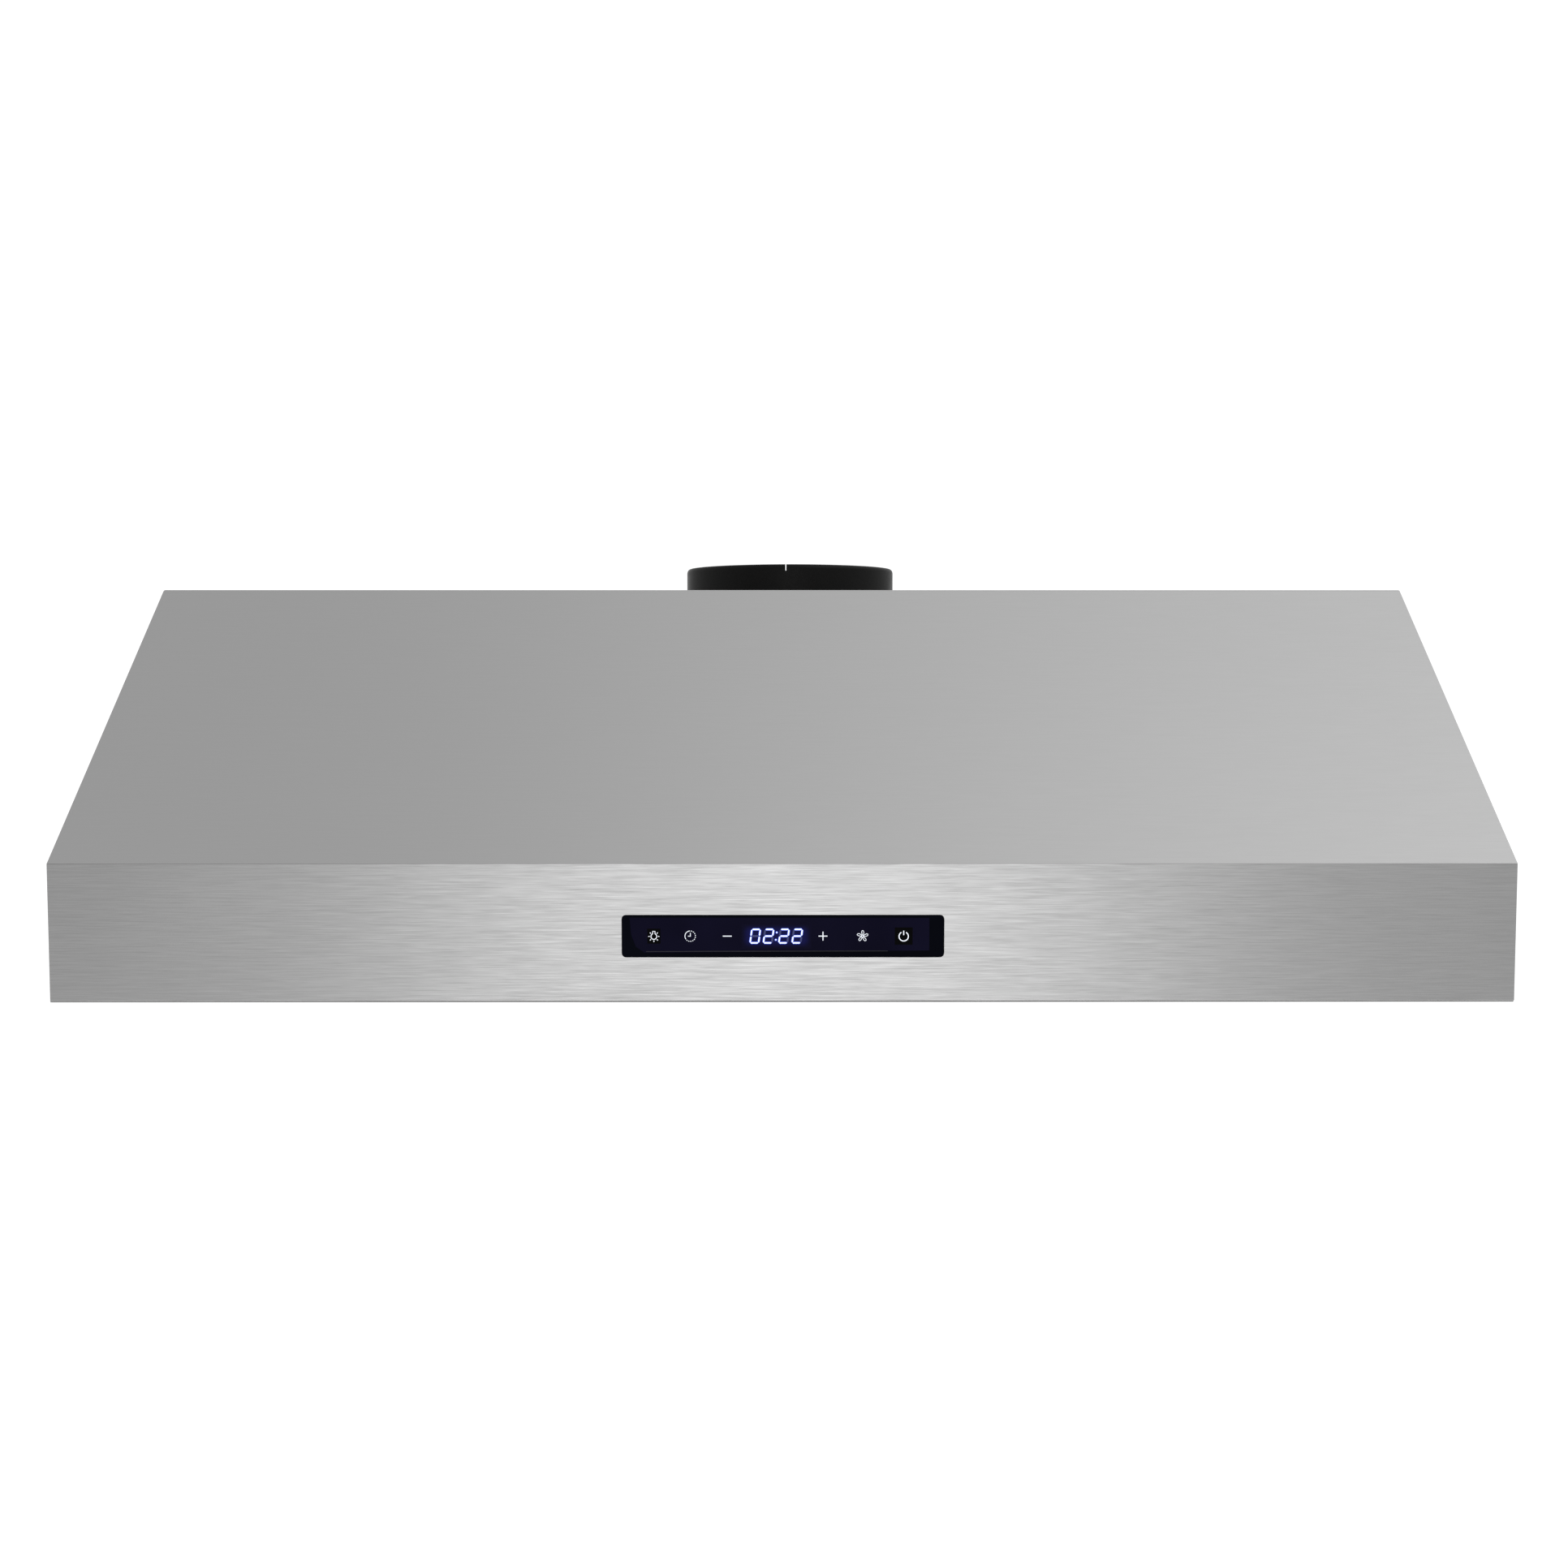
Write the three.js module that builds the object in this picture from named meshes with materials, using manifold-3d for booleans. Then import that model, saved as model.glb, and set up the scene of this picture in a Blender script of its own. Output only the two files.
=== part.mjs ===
// An under cabinet range hood in sheet steel: canopy, touch control, two lamps, two baffle filters,
// a double inlet blower with its motor, and a round duct collar with a two flap damper.
// Millimetres, +Z up, the front faces -Y. The origin is the middle of the top face.

import * as THREE from "three";
import { mergeVertices } from "three/addons/utils/BufferGeometryUtils.js";
import Module from "manifold-3d";

const wasm = await Module();
wasm.setup();

const radians = THREE.MathUtils.degToRad;
const degrees = THREE.MathUtils.radToDeg;

// ---- Driving dimensions ----

const WIDTH = 756;
const DEPTH = 508;
const HEIGHT = 220;
const LIP = 72; // height of the upright front
const SLOPE_RUN = 185; // how far back the slope runs before the flat top begins
const SHEET = 1.2;
const GAP = 0.3; // room left between two pieces that meet
const RIM = 22; // width of the flange that is turned in along the bottom
const SEAM = 0.4; // the fine open seam between the slope and the upright front
const OVER = 1; // how far a cutting shape runs past what it cuts

const FRONT = -DEPTH / 2;
const BACK = DEPTH / 2;
const SIDE = WIDTH / 2;
const BOTTOM = -HEIGHT;
const FOLD = BOTTOM + LIP; // height of the crease between the upright front and the slope
const BEND = FRONT + SLOPE_RUN; // where the slope meets the flat top
const SLOPE = Math.atan2(-FOLD, SLOPE_RUN);
const BETWEEN = SIDE - SHEET - GAP; // half width of what fits between the side panels
const UNDER = -SHEET - GAP; // top of what hangs close under the flat top

const HANGER = { x: 340, front: -25, rear: 190 }; // keyholes in the top, for screws into the cabinet
const WALL_HANGER = { x: 200, z: -60 };
const KEYHOLE = { head: 5, slot: 2.6, rise: 12 };
const PAN = { top: -206, halfX: 362, halfY: 240, lip: 8 };
const OPENING = { halfX: 323, front: -122, rear: 222 }; // where the two filters sit
const LAMP = { x: 236, y: -180, hole: 30, lens: 27.2, module: 28 };

// A filter: its size, the width of its frame at the side and the front, and where it sits.
const FILTER = { width: 320, depth: 334, thick: 17, sheet: 1, side: 14, front: 20 };
Object.assign(FILTER, { x: 161, y: 49.5, z: -207 });
const BAFFLE = { pitch: 35, chord: 25, sagitta: 4, sheet: 1, front: -159, rear: 160, tie: 8 };
// The tabs that a filter swings on, and the line they swing about.
const HOOK = { x: 100, width: 24, thick: 1.5, reach: 4.4, y: 220.4, z: -203.8 };
const RAIL = { web: 220.6, foot: 234, height: 20 };
const CATCH = { halfX: 18, nose: 3.3, strip: 0.6 };
const BAIL = { y: -157, z: -3, drop: 20, leg: 25, ear: 27.6, earThick: 3, earRadius: 4, wire: 1.8 };

const DUCT = { x: 6, y: 146, radius: 75, wall: 3.5, rise: 24, flange: 88, flangeThick: 2.5 };
const SEAT = { inner: 68, top: 9.6, bar: 6.5 }; // the ledge and the bar that the flaps close on
const PIN = { z: 12, radius: 1.5, half: 70 }; // the damper's pin, along Y
const FLAP = { radius: 70, near: 4.6, thick: 1.5, low: 10.1, notchX: 10, notchY: 60 };
const KNUCKLE = { radius: 3.2, near: 12, far: 48, half: 8 }; // a flap's two loops round the pin
const SCREW = { circle: 82, angles: [45, 135, 225, 315], shank: 2, hole: 2.4, head: 4, headThick: 2.3 };

const SCROLL = { first: 62, last: 96, start: 28, half: 66, wall: 2, top: 63, inlet: 50, outlet: 70 };
const WHEEL = { radius: 58, inner: 49.5, half: 62, plate: 1, blades: 24, z: -90 };
WHEEL.y = DUCT.y - (SCROLL.last - SCROLL.first * Math.sin(radians(SCROLL.start))) / 2;
const MOTOR = { radius: 36, wall: 1.5, rear: -80, front: -22, shaft: 4, bore: 4.3, bearing: 9, seat: 11 };
const STACK = { from: -66, to: -34, bore: 22, rotor: 21 }; // the wound part of the motor
const CAPACITOR = { x: -135, y: 140, z: -26, radius: 15, half: 30 };

const PANEL = { halfX: 82.8, halfZ: 10.7, z: -185.5, corner: 1.8, thick: 2.5 }; // the touch glass
const TRAY = { margin: 6, deep: 17, wall: 2 }; // the housing behind the glass
const BOX = { x: 255, y: 140, halfX: 65, halfY: 50, deep: 44, wall: 2, corner: 4 }; // holds the electronics
const ENTRY = { x: 255, y: 222, hole: 11, cable: 7, flange: 15 }; // where the supply cable comes in

// ---- Materials ----

function paint(color, roughness, metalness) {
  return new THREE.MeshStandardMaterial({ color, roughness, metalness });
}

const STEEL = paint(0xb4b4b4, 0.35, 1);
const ZINC = paint(0xa4a9ad, 0.5, 1);
const BLACK_PLASTIC = paint(0x141414, 0.45, 0);
const GREY_PLASTIC = paint(0x3a3c3e, 0.6, 0);
const GLASS = paint(0x0c0a14, 0.08, 0);
const LENS = paint(0xeef2f4, 0.3, 0);
const BOARD = paint(0x1f5a34, 0.6, 0);
const COPPER = paint(0x9a5a34, 0.4, 1);
const LAMINATION = paint(0x6a6c70, 0.5, 1);
const RUBBER = paint(0x1c1c1c, 0.8, 0);

// ---- Outlines, as lists of [a, b] points ----

const rectangle = (x0, x1, y0, y1) => [[x0, y0], [x1, y0], [x1, y1], [x0, y1]];

// Points on an arc, angles in degrees.
function arc(x, y, radius, from, to, steps) {
  return Array.from({ length: steps + 1 }, (_, i) => {
    const a = radians(from + ((to - from) * i) / steps);
    return [x + radius * Math.cos(a), y + radius * Math.sin(a)];
  });
}

function circle(x, y, radius, sides) {
  return arc(x, y, radius, 0, 360, sides).slice(1);
}

function roundedRectangle(halfX, halfY, corner, x = 0, y = 0) {
  const signs = [[1, 1], [-1, 1], [-1, -1], [1, -1]];
  return signs.flatMap(([sx, sy], i) => {
    return arc(x + sx * (halfX - corner), y + sy * (halfY - corner), corner, 90 * i, 90 * (i + 1), 3);
  });
}

// A round hole with a slot above it, for hanging on a screw head.
function keyhole(x, y) {
  const neck = degrees(Math.asin(KEYHOLE.slot / KEYHOLE.head));
  const head = arc(x, y, KEYHOLE.head, 90 + neck, 450 - neck, 10);
  return [...head, ...arc(x, y + KEYHOLE.rise, KEYHOLE.slot, 0, 180, 5)];
}

const vectors = (points) => points.map(([a, b]) => new THREE.Vector2(a, b));

// The outline of a sheet bent along a line of points, its thickness laid to the line's left.
function bentSheet(line, thickness) {
  const points = vectors(line);
  const normals = points.slice(1).map((p, i) => {
    const along = p.clone().sub(points[i]).normalize();
    return new THREE.Vector2(-along.y, along.x);
  });
  const inner = points.map((p, i) => {
    const before = normals[Math.max(i - 1, 0)];
    const after = normals[Math.min(i, normals.length - 1)];
    const mitre = before.clone().add(after).multiplyScalar(thickness / (1 + before.dot(after)));
    return p.clone().add(mitre);
  });
  return [...line, ...inner.reverse().map((p) => [p.x, p.y])];
}

// ---- Solids ----

const AXIS = { x: new THREE.Vector3(1, 0, 0), y: new THREE.Vector3(0, 1, 0), z: new THREE.Vector3(0, 0, 1) };

// Extrudes an outline of [x, y] points from z0 to z1, with holes as further outlines.
function prismZ(points, z0, z1, holes = []) {
  const shape = new THREE.Shape(vectors(points));
  shape.holes = holes.map((hole) => new THREE.Path(vectors(hole)));
  return new THREE.ExtrudeGeometry(shape, { depth: z1 - z0, bevelEnabled: false }).translate(0, 0, z0);
}

// Extrudes an outline of [y, z] points from x0 to x1.
function prismX(points, x0, x1, holes = []) {
  const turn = new THREE.Matrix4().makeBasis(AXIS.y, AXIS.z, AXIS.x);
  return prismZ(points, x0, x1, holes).applyMatrix4(turn);
}

// Extrudes an outline of [x, z] points from y0 to y1.
function prismY(points, y0, y1, holes = []) {
  const turn = new THREE.Matrix4().makeBasis(AXIS.x, AXIS.z, AXIS.y.clone().negate());
  return prismZ(points, -y1, -y0, holes).applyMatrix4(turn);
}

// A box between two values on each axis, given in either order.
function box(x0, x1, y0, y1, z0, z1) {
  const made = new THREE.BoxGeometry(Math.abs(x1 - x0), Math.abs(y1 - y0), Math.abs(z1 - z0));
  return made.translate((x0 + x1) / 2, (y0 + y1) / 2, (z0 + z1) / 2);
}

// A closed profile of [radius, height] points turned about the Z axis.
function turned(profile, sides) {
  const closed = [...profile, profile[0]];
  return new THREE.LatheGeometry(vectors(closed), sides).rotateX(Math.PI / 2);
}

const ring = (inner, outer, z0, z1, sides) => turned(rectangle(inner, outer, z0, z1), sides);

// A solid cylinder about Z between two heights, given in either order.
function disc(radius, z0, z1, sides) {
  const made = new THREE.CylinderGeometry(radius, radius, Math.abs(z1 - z0), sides);
  return made.rotateX(Math.PI / 2).translate(0, 0, (z0 + z1) / 2);
}

// A part made about Z, turned to lie about X or about Y.
const aboutX = (geometry) => geometry.rotateY(Math.PI / 2);
const aboutY = (geometry) => geometry.rotateX(-Math.PI / 2);

// The solid through a row of closed loops of as many points each, with a fan of triangles over both ends.
function loft(...loops) {
  const middle = (loop) => {
    return loop.reduce((sum, p) => sum.add(p), new THREE.Vector3()).divideScalar(loop.length);
  };
  const first = loops[0];
  const last = loops[loops.length - 1];
  const [low, high] = [middle(first), middle(last)];
  const corners = first.flatMap((_, i) => {
    const next = (i + 1) % first.length;
    const sides = loops.slice(1).flatMap((upper, row) => {
      const lower = loops[row];
      return [lower[i], lower[next], upper[next], lower[i], upper[next], upper[i]];
    });
    return [...sides, low, first[next], first[i], high, last[i], last[next]];
  });
  return new THREE.BufferGeometry().setFromPoints(corners);
}

// A round wire bent along [x, z] points, mitred at the bends.
function bentWire(line, radius, sides) {
  const points = vectors(line);
  const steps = points.slice(1).map((p, i) => p.clone().sub(points[i]).normalize());
  const loops = points.map((p, i) => {
    const before = steps[Math.max(i - 1, 0)];
    const after = steps[Math.min(i, steps.length - 1)];
    const mitre = before.clone().add(after).divideScalar(1 + before.dot(after));
    return circle(0, 0, radius, sides).map(([a, b]) => {
      return new THREE.Vector3(p.x - a * mitre.y, b, p.y + a * mitre.x);
    });
  });
  return loft(...loops);
}

// A lead of the given radius, with six sides, along a smooth line through points.
function lead(points, radius, steps) {
  const places = points.map((p) => new THREE.Vector3(...p));
  const curve = new THREE.CatmullRomCurve3(places, false, "centripetal");
  const section = new THREE.Shape(vectors(circle(0, 0, radius, 6)));
  return new THREE.ExtrudeGeometry(section, { extrudePath: curve, steps, bevelEnabled: false });
}

// ---- Joining and cutting ----

// A closed geometry as a manifold-3d solid, turned outside out where its faces point inwards.
function toSolid(geometry) {
  const loose = geometry.index ? geometry.toNonIndexed() : geometry;
  const bare = new THREE.BufferGeometry().setAttribute("position", loose.getAttribute("position"));
  const merged = mergeVertices(bare, 1e-4);
  const vertProperties = merged.getAttribute("position").array;
  const make = (triVerts) => new wasm.Manifold(new wasm.Mesh({ numProp: 3, vertProperties, triVerts }));
  const corners = new Uint32Array(merged.index.array);
  const solid = make(corners);
  return solid.volume() < 0 ? make(corners.reverse()) : solid;
}

function toGeometry(solid) {
  const mesh = solid.getMesh();
  const geometry = new THREE.BufferGeometry();
  geometry.setAttribute("position", new THREE.BufferAttribute(mesh.vertProperties, 3));
  geometry.setIndex(new THREE.BufferAttribute(mesh.triVerts, 1));
  return geometry.toNonIndexed();
}

function join(first, ...rest) {
  return toGeometry(rest.reduce((whole, next) => whole.add(toSolid(next)), toSolid(first)));
}

function cut(first, ...rest) {
  return toGeometry(rest.reduce((whole, next) => whole.subtract(toSolid(next)), toSolid(first)));
}

function common(first, second) {
  return toGeometry(toSolid(first).intersect(toSolid(second)));
}

function piece(name, geometry, material) {
  const shown = toGeometry(toSolid(geometry));
  shown.computeVertexNormals();
  const mesh = new THREE.Mesh(shown, material);
  mesh.name = name;
  return mesh;
}

function group(parts, x = 0, y = 0, z = 0) {
  const made = new THREE.Group();
  made.add(...parts);
  made.position.set(x, y, z);
  return made;
}

// ---- Canopy ----

// A plane that lies inside the slope by some depth: its y at a height, and its height at a y.
const slopeY = (z, depth) => BEND + z / Math.tan(SLOPE) + depth / Math.sin(SLOPE);
const slopeZ = (y, depth) => (y - BEND - depth / Math.sin(SLOPE)) * Math.tan(SLOPE);

const screwPlaces = () => SCREW.angles.map((a) => arc(0, 0, SCREW.circle, a, a, 1)[0]);

function canopyTop() {
  const outer = [[BACK, 0], [BEND, 0], [FRONT, FOLD]];
  const inner = [[slopeY(FOLD, SHEET), FOLD], [slopeY(-SHEET, SHEET), -SHEET], [BACK, -SHEET]];
  const holes = [
    circle(DUCT.x, DUCT.y, DUCT.radius + 0.5, 40),
    circle(ENTRY.x, ENTRY.y, ENTRY.hole, 16),
    ...[-1, 1].flatMap((side) => [HANGER.front, HANGER.rear].map((y) => keyhole(side * HANGER.x, y))),
    ...screwPlaces().map(([x, y]) => circle(DUCT.x + x, DUCT.y + y, SCREW.hole, 8)),
  ];
  const cutters = holes.map((hole) => prismZ(hole, -SHEET - OVER, OVER));
  return cut(prismX([...outer, ...inner], -SIDE, SIDE), ...cutters);
}

function frontFascia() {
  const top = FOLD - SEAM;
  const topFlange = 16;
  const line = [[FRONT + topFlange, top], [FRONT, top], [FRONT, BOTTOM], [FRONT + RIM, BOTTOM]];
  const channel = prismX(bentSheet(line, SHEET), -BETWEEN, BETWEEN);
  const plate = box(-SIDE, SIDE, FRONT, FRONT + SHEET, BOTTOM, top);
  const window = roundedRectangle(PANEL.halfX + GAP, PANEL.halfZ + GAP, PANEL.corner + GAP, 0, PANEL.z);
  return cut(join(channel, plate), prismY(window, FRONT - OVER, FRONT + SHEET + OVER));
}

// A panel with a rim along the bottom and a lip up the back: side is 1 on the right and -1 on the left.
function sidePanel(side) {
  const near = FRONT + SHEET + GAP;
  const far = BACK - SHEET - GAP;
  const lip = 14;
  const slope = [[slopeY(UNDER, -UNDER), UNDER], [near, slopeZ(near, -UNDER)]];
  const outline = [[near, BOTTOM], [far, BOTTOM], [far, UNDER], ...slope];
  const outer = side * SIDE;
  const plate = prismX(outline, -SHEET / 2, SHEET / 2).translate(outer - (side * SHEET) / 2, 0, 0);
  const rim = box(outer, outer - side * RIM, FRONT + RIM + GAP, BACK - RIM - GAP, BOTTOM, BOTTOM + SHEET);
  const rearLip = box(outer, outer - side * lip, far - SHEET, far, BOTTOM + lip, UNDER);
  return join(plate, rim, rearLip);
}

function backPanel() {
  const line = [[BACK - RIM, BOTTOM], [BACK, BOTTOM], [BACK, UNDER]];
  const channel = prismX(bentSheet(line, SHEET), -BETWEEN, BETWEEN);
  const plate = box(-SIDE, SIDE, BACK - SHEET, BACK, BOTTOM, UNDER);
  const hangers = [-1, 1].map((side) => {
    return prismY(keyhole(side * WALL_HANGER.x, WALL_HANGER.z), BACK - SHEET - OVER, BACK + OVER);
  });
  return cut(join(channel, plate), ...hangers);
}

// The underside panel: a flat pan with a skirt down to the rim, the filter opening and two lamp holes.
function undersidePanel() {
  const { top, halfX, halfY, lip } = PAN;
  const { halfX: edge, front, rear } = OPENING;
  const low = BOTTOM + SHEET + GAP;
  const shell = cut(
    box(-halfX, halfX, -halfY, halfY, low, top),
    box(-halfX + SHEET, halfX - SHEET, -halfY + SHEET, halfY - SHEET, low - OVER, top - SHEET),
  );
  const raised = box(-edge - SHEET, edge + SHEET, front - SHEET, rear - 2, top - SHEET, top + lip);
  const opening = box(-edge, edge, front, rear, low - OVER, top + lip + OVER);
  const lamps = [-1, 1].map((side) => {
    return prismZ(circle(side * LAMP.x, LAMP.y, LAMP.hole, 28), low, top + OVER);
  });
  return cut(join(shell, raised), opening, ...lamps);
}

// The rail behind the filters, with a window for each of their tabs.
function filterRail() {
  const { web, foot, height } = RAIL;
  const low = PAN.top + GAP;
  const reach = OPENING.halfX - 2;
  const rail = prismX(bentSheet([[web, low + height], [web, low], [foot, low]], SHEET), -reach, reach);
  const half = HOOK.width / 2 + 2;
  const swing = 11; // the height that a tab needs as it swings
  const places = [-1, 1].flatMap((side) => [-1, 1].map((end) => side * FILTER.x + end * HOOK.x));
  const windows = places.map((x) => {
    return box(x - half, x + half, web - OVER, web + SHEET + OVER, HOOK.z - GAP, HOOK.z + swing);
  });
  return cut(rail, ...windows);
}

function canopy() {
  return group([
    piece("canopy_top", canopyTop(), STEEL),
    piece("front_fascia", frontFascia(), STEEL),
    piece("side_panel_left", sidePanel(-1), STEEL),
    piece("side_panel_right", sidePanel(1), STEEL),
    piece("back_panel", backPanel(), STEEL),
    piece("underside_panel", undersidePanel(), STEEL),
    piece("filter_rear_rail", filterRail(), ZINC),
  ]);
}

// ---- Filters, each made about the middle of its own underside ----

// The two ears that hold the ends of the wire handle.
function bailEars() {
  const { y, z, ear, earThick, earRadius, wire } = BAIL;
  const foot = earRadius + 1;
  const root = 0.2; // how far the ears run into the frame
  const outline = [[y - foot, root], ...arc(y, z, earRadius, 180, 360, 6), [y + foot, root]];
  const hole = circle(y, z, wire + 0.5, 12);
  return [ear, -ear - earThick].map((at) => prismX(outline, at, at + earThick, [hole]));
}

function filterFrame() {
  const { width, depth, thick, sheet, side, front } = FILTER;
  const [x, y] = [width / 2, depth / 2];
  const outer = box(-x, x, -y, y, 0, thick);
  const hollow = box(-x + sheet, x - sheet, -y + sheet, y - sheet, sheet, thick - sheet);
  const window = box(-x + side, x - side, -y + front, y - side, -OVER, thick + OVER);
  const low = HOOK.z + 0.2 - FILTER.z;
  const end = HOOK.y + HOOK.reach - FILTER.y;
  const tabs = [-HOOK.x, HOOK.x].map((at) => {
    return box(at - HOOK.width / 2, at + HOOK.width / 2, y - sheet, end, low, low + HOOK.thick);
  });
  return join(cut(outer, hollow, window), ...tabs, ...bailEars());
}

// A row of curved baffles held by two tie strips. Its troughs are hollow upwards where facing is 1 and
// downwards where it is -1, and bed is the height of their closed side.
function baffleRow(count, bed, facing) {
  const { pitch, chord, sagitta, sheet, front, rear, tie } = BAFFLE;
  const radius = (chord * chord) / (8 * sagitta) + sagitta / 2;
  const sweep = degrees(Math.asin(chord / 2 / radius));
  const trough = bentSheet(arc(0, radius, radius, 270 - sweep, 270 + sweep, 3), sheet);
  const slats = Array.from({ length: count }, (_, i) => {
    const x = (i - (count - 1) / 2) * pitch;
    return prismY(trough.map(([a, b]) => [x + a, bed + facing * b]), front, rear);
  });
  const reach = FILTER.width / 2 - 6;
  const strip = (y) => box(-reach, reach, y - tie / 2, y + tie / 2, bed, bed + facing * sheet);
  return join(strip(front), ...slats, strip(rear));
}

// A sprung strip on the filter's front edge, whose nose rubs on the lip of the opening.
function filterCatch() {
  const face = -FILTER.depth / 2;
  const line = [[face - 0.9, 3.5], [face - CATCH.nose, 6.5], [face - GAP, 9], [face - GAP, 12.5]];
  return prismX(bentSheet(line, CATCH.strip), -CATCH.halfX, CATCH.halfX);
}

function filterBail() {
  const { y, z, drop, leg, ear, earThick, wire } = BAIL;
  const [elbow, bend] = [ear - leg, 5];
  const half = [
    [ear + earThick + elbow, 0],
    ...arc(leg + elbow, -elbow, elbow, 90, 180, 2),
    ...arc(leg - bend, bend - drop, bend, 0, -90, 4),
  ];
  const mirrored = half.map(([a, b]) => [-a, b]).reverse();
  return bentWire([...half, ...mirrored], wire, 8).translate(0, y, z);
}

function filter(name, x) {
  const inside = FILTER.sheet + GAP;
  return group(
    [
      piece("filter_frame_" + name, filterFrame(), STEEL),
      piece("filter_lower_baffles_" + name, baffleRow(8, inside, 1), STEEL),
      piece("filter_upper_baffles_" + name, baffleRow(9, FILTER.thick - inside, -1), STEEL),
      piece("filter_catch_" + name, filterCatch(), STEEL),
      piece("filter_handle_" + name, filterBail(), STEEL),
    ],
    x,
    FILTER.y,
    FILTER.z,
  );
}

// ---- Lamps, each made about the middle of its hole at the pan's lower face ----

function lampBezel() {
  const { hole, lens } = LAMP;
  const [inner, barrel] = [lens + GAP, hole - 0.5];
  const [low, top] = [-2.5, 3];
  return turned(
    [[inner, top], [inner, low], [hole + 2.5, low], [hole + 4, -GAP], [barrel, -GAP], [barrel, top]],
    28,
  );
}

// The light module, with fins round it.
function lampModule() {
  const { module: outer } = LAMP;
  const [neck, groove] = [outer - 1, outer - 6];
  const fins = [4, 11].flatMap((z) => [[outer, z], [outer, z + 3], [groove, z + 3], [groove, z + 7]]);
  return turned([[0, 0.9], [neck, 0.9], [neck, 4], ...fins, [outer, 18], [outer, 21], [0, 21]], 20);
}

function lamp(name, x) {
  return group(
    [
      piece("lamp_bezel_" + name, lampBezel(), STEEL),
      piece("lamp_lens_" + name, disc(LAMP.lens, -1.5, 0.5, 28), LENS),
      piece("lamp_module_" + name, lampModule(), LAMINATION),
    ],
    x,
    LAMP.y,
    PAN.top - SHEET,
  );
}

// ---- Duct collar and damper, made about the duct's axis at the top face ----

function ductCollar() {
  const { radius, wall, rise, flange, flangeThick } = DUCT;
  const low = -SHEET - flangeThick;
  const rounding = [[0, 3.2], [0.4, 1.7], [1.2, 0.6], [2.2, 0]]; // insets and drops of the rim's outer edge
  const profile = [
    [SEAT.inner, low], [flange, low], [flange, -SHEET], [radius, -SHEET],
    ...rounding.map(([inset, drop]) => [radius - inset, rise - drop]),
    [radius - wall, rise], [radius - wall, SEAT.top], [SEAT.inner, SEAT.top - 1.5],
  ];
  const bar = box(-3, 3, OVER - radius, radius - OVER, low, SEAT.bar);
  const bosses = [-1, 1].map((end) => {
    return box(-3.6, 3.6, end * (radius - 9), end * (radius - OVER), SEAT.bar - OVER, PIN.z + 3.4);
  });
  const slit = -2.7; // where the rim's slit is
  const notch = box(slit - 0.6, slit + 0.6, -radius - OVER, OVER - radius + wall, rise - 4.5, rise + OVER);
  const bore = aboutY(disc(PIN.radius + 0.2, 1.5 - radius, radius - 1.5, 12)).translate(0, 0, PIN.z);
  const holes = screwPlaces().map(([x, y]) => prismZ(circle(x, y, SCREW.hole, 8), low - OVER, 0));
  return cut(join(turned(profile, 48), bar, ...bosses), notch, bore, ...holes);
}

// Half of a round flap, with two knuckles round the pin: side is 1 on the right and -1 on the left.
function damperFlap(side) {
  const { radius, near, thick, low, notchX, notchY } = FLAP;
  const start = degrees(Math.asin(notchX / radius));
  const rim = arc(0, 0, radius, start - 90, 90 - start, 16);
  const outline = [[near, -notchY], [notchX, -notchY], ...rim, [notchX, notchY], [near, notchY]];
  const plate = prismZ(outline.map(([x, y]) => [x * side, y]), low, low + thick);
  const knuckles = [KNUCKLE.near, -KNUCKLE.far].flatMap((at) => {
    const [from, to] = [side * at - KNUCKLE.half, side * at + KNUCKLE.half];
    const loop = aboutY(disc(KNUCKLE.radius, from, to, 12)).translate(0, 0, PIN.z);
    return [loop, box(side, side * (near + 3), from, to, low, low + thick)];
  });
  const bore = aboutY(disc(PIN.radius + 0.4, -radius, radius, 12)).translate(0, 0, PIN.z);
  return cut(join(plate, ...knuckles), bore);
}

// A screw up through the blower's flange, the collar's flange and the top.
function ductScrew() {
  const under = -SHEET - DUCT.flangeThick - SCROLL.wall - 2 * GAP;
  const head = disc(SCREW.head, under - SCREW.headThick, under, 12);
  return join(head, disc(SCREW.shank, under - OVER, -GAP, 8));
}

function duct() {
  const pin = aboutY(disc(PIN.radius, -PIN.half, PIN.half, 12)).translate(0, 0, PIN.z);
  const screws = screwPlaces().map(([x, y], i) => {
    return piece("duct_screw_" + (i + 1), ductScrew().translate(x, y, 0), ZINC);
  });
  return group(
    [
      piece("duct_collar", ductCollar(), BLACK_PLASTIC),
      piece("damper_pin", pin, ZINC),
      piece("damper_flap_left", damperFlap(-1), BLACK_PLASTIC),
      piece("damper_flap_right", damperFlap(1), BLACK_PLASTIC),
      ...screws,
    ],
    DUCT.x,
    DUCT.y,
    0,
  );
}

// ---- Blower and motor, made about the wheel's axis, which lies along X ----

// The scroll's outline in [y, z]: it widens from the cut-off by the front and the bottom to the rear.
function scrollOutline(extra) {
  const steps = 18;
  const spiral = Array.from({ length: steps + 1 }, (_, i) => {
    const share = i / steps;
    const a = radians(SCROLL.start + share * (270 - SCROLL.start));
    const r = SCROLL.first + share * (SCROLL.last - SCROLL.first) + extra;
    return [-r * Math.sin(a), r * Math.cos(a)];
  });
  const cutOff = -SCROLL.first * Math.sin(radians(SCROLL.start)) - extra;
  return [...spiral, [SCROLL.last + extra, SCROLL.top], [cutOff, SCROLL.top]];
}

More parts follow.
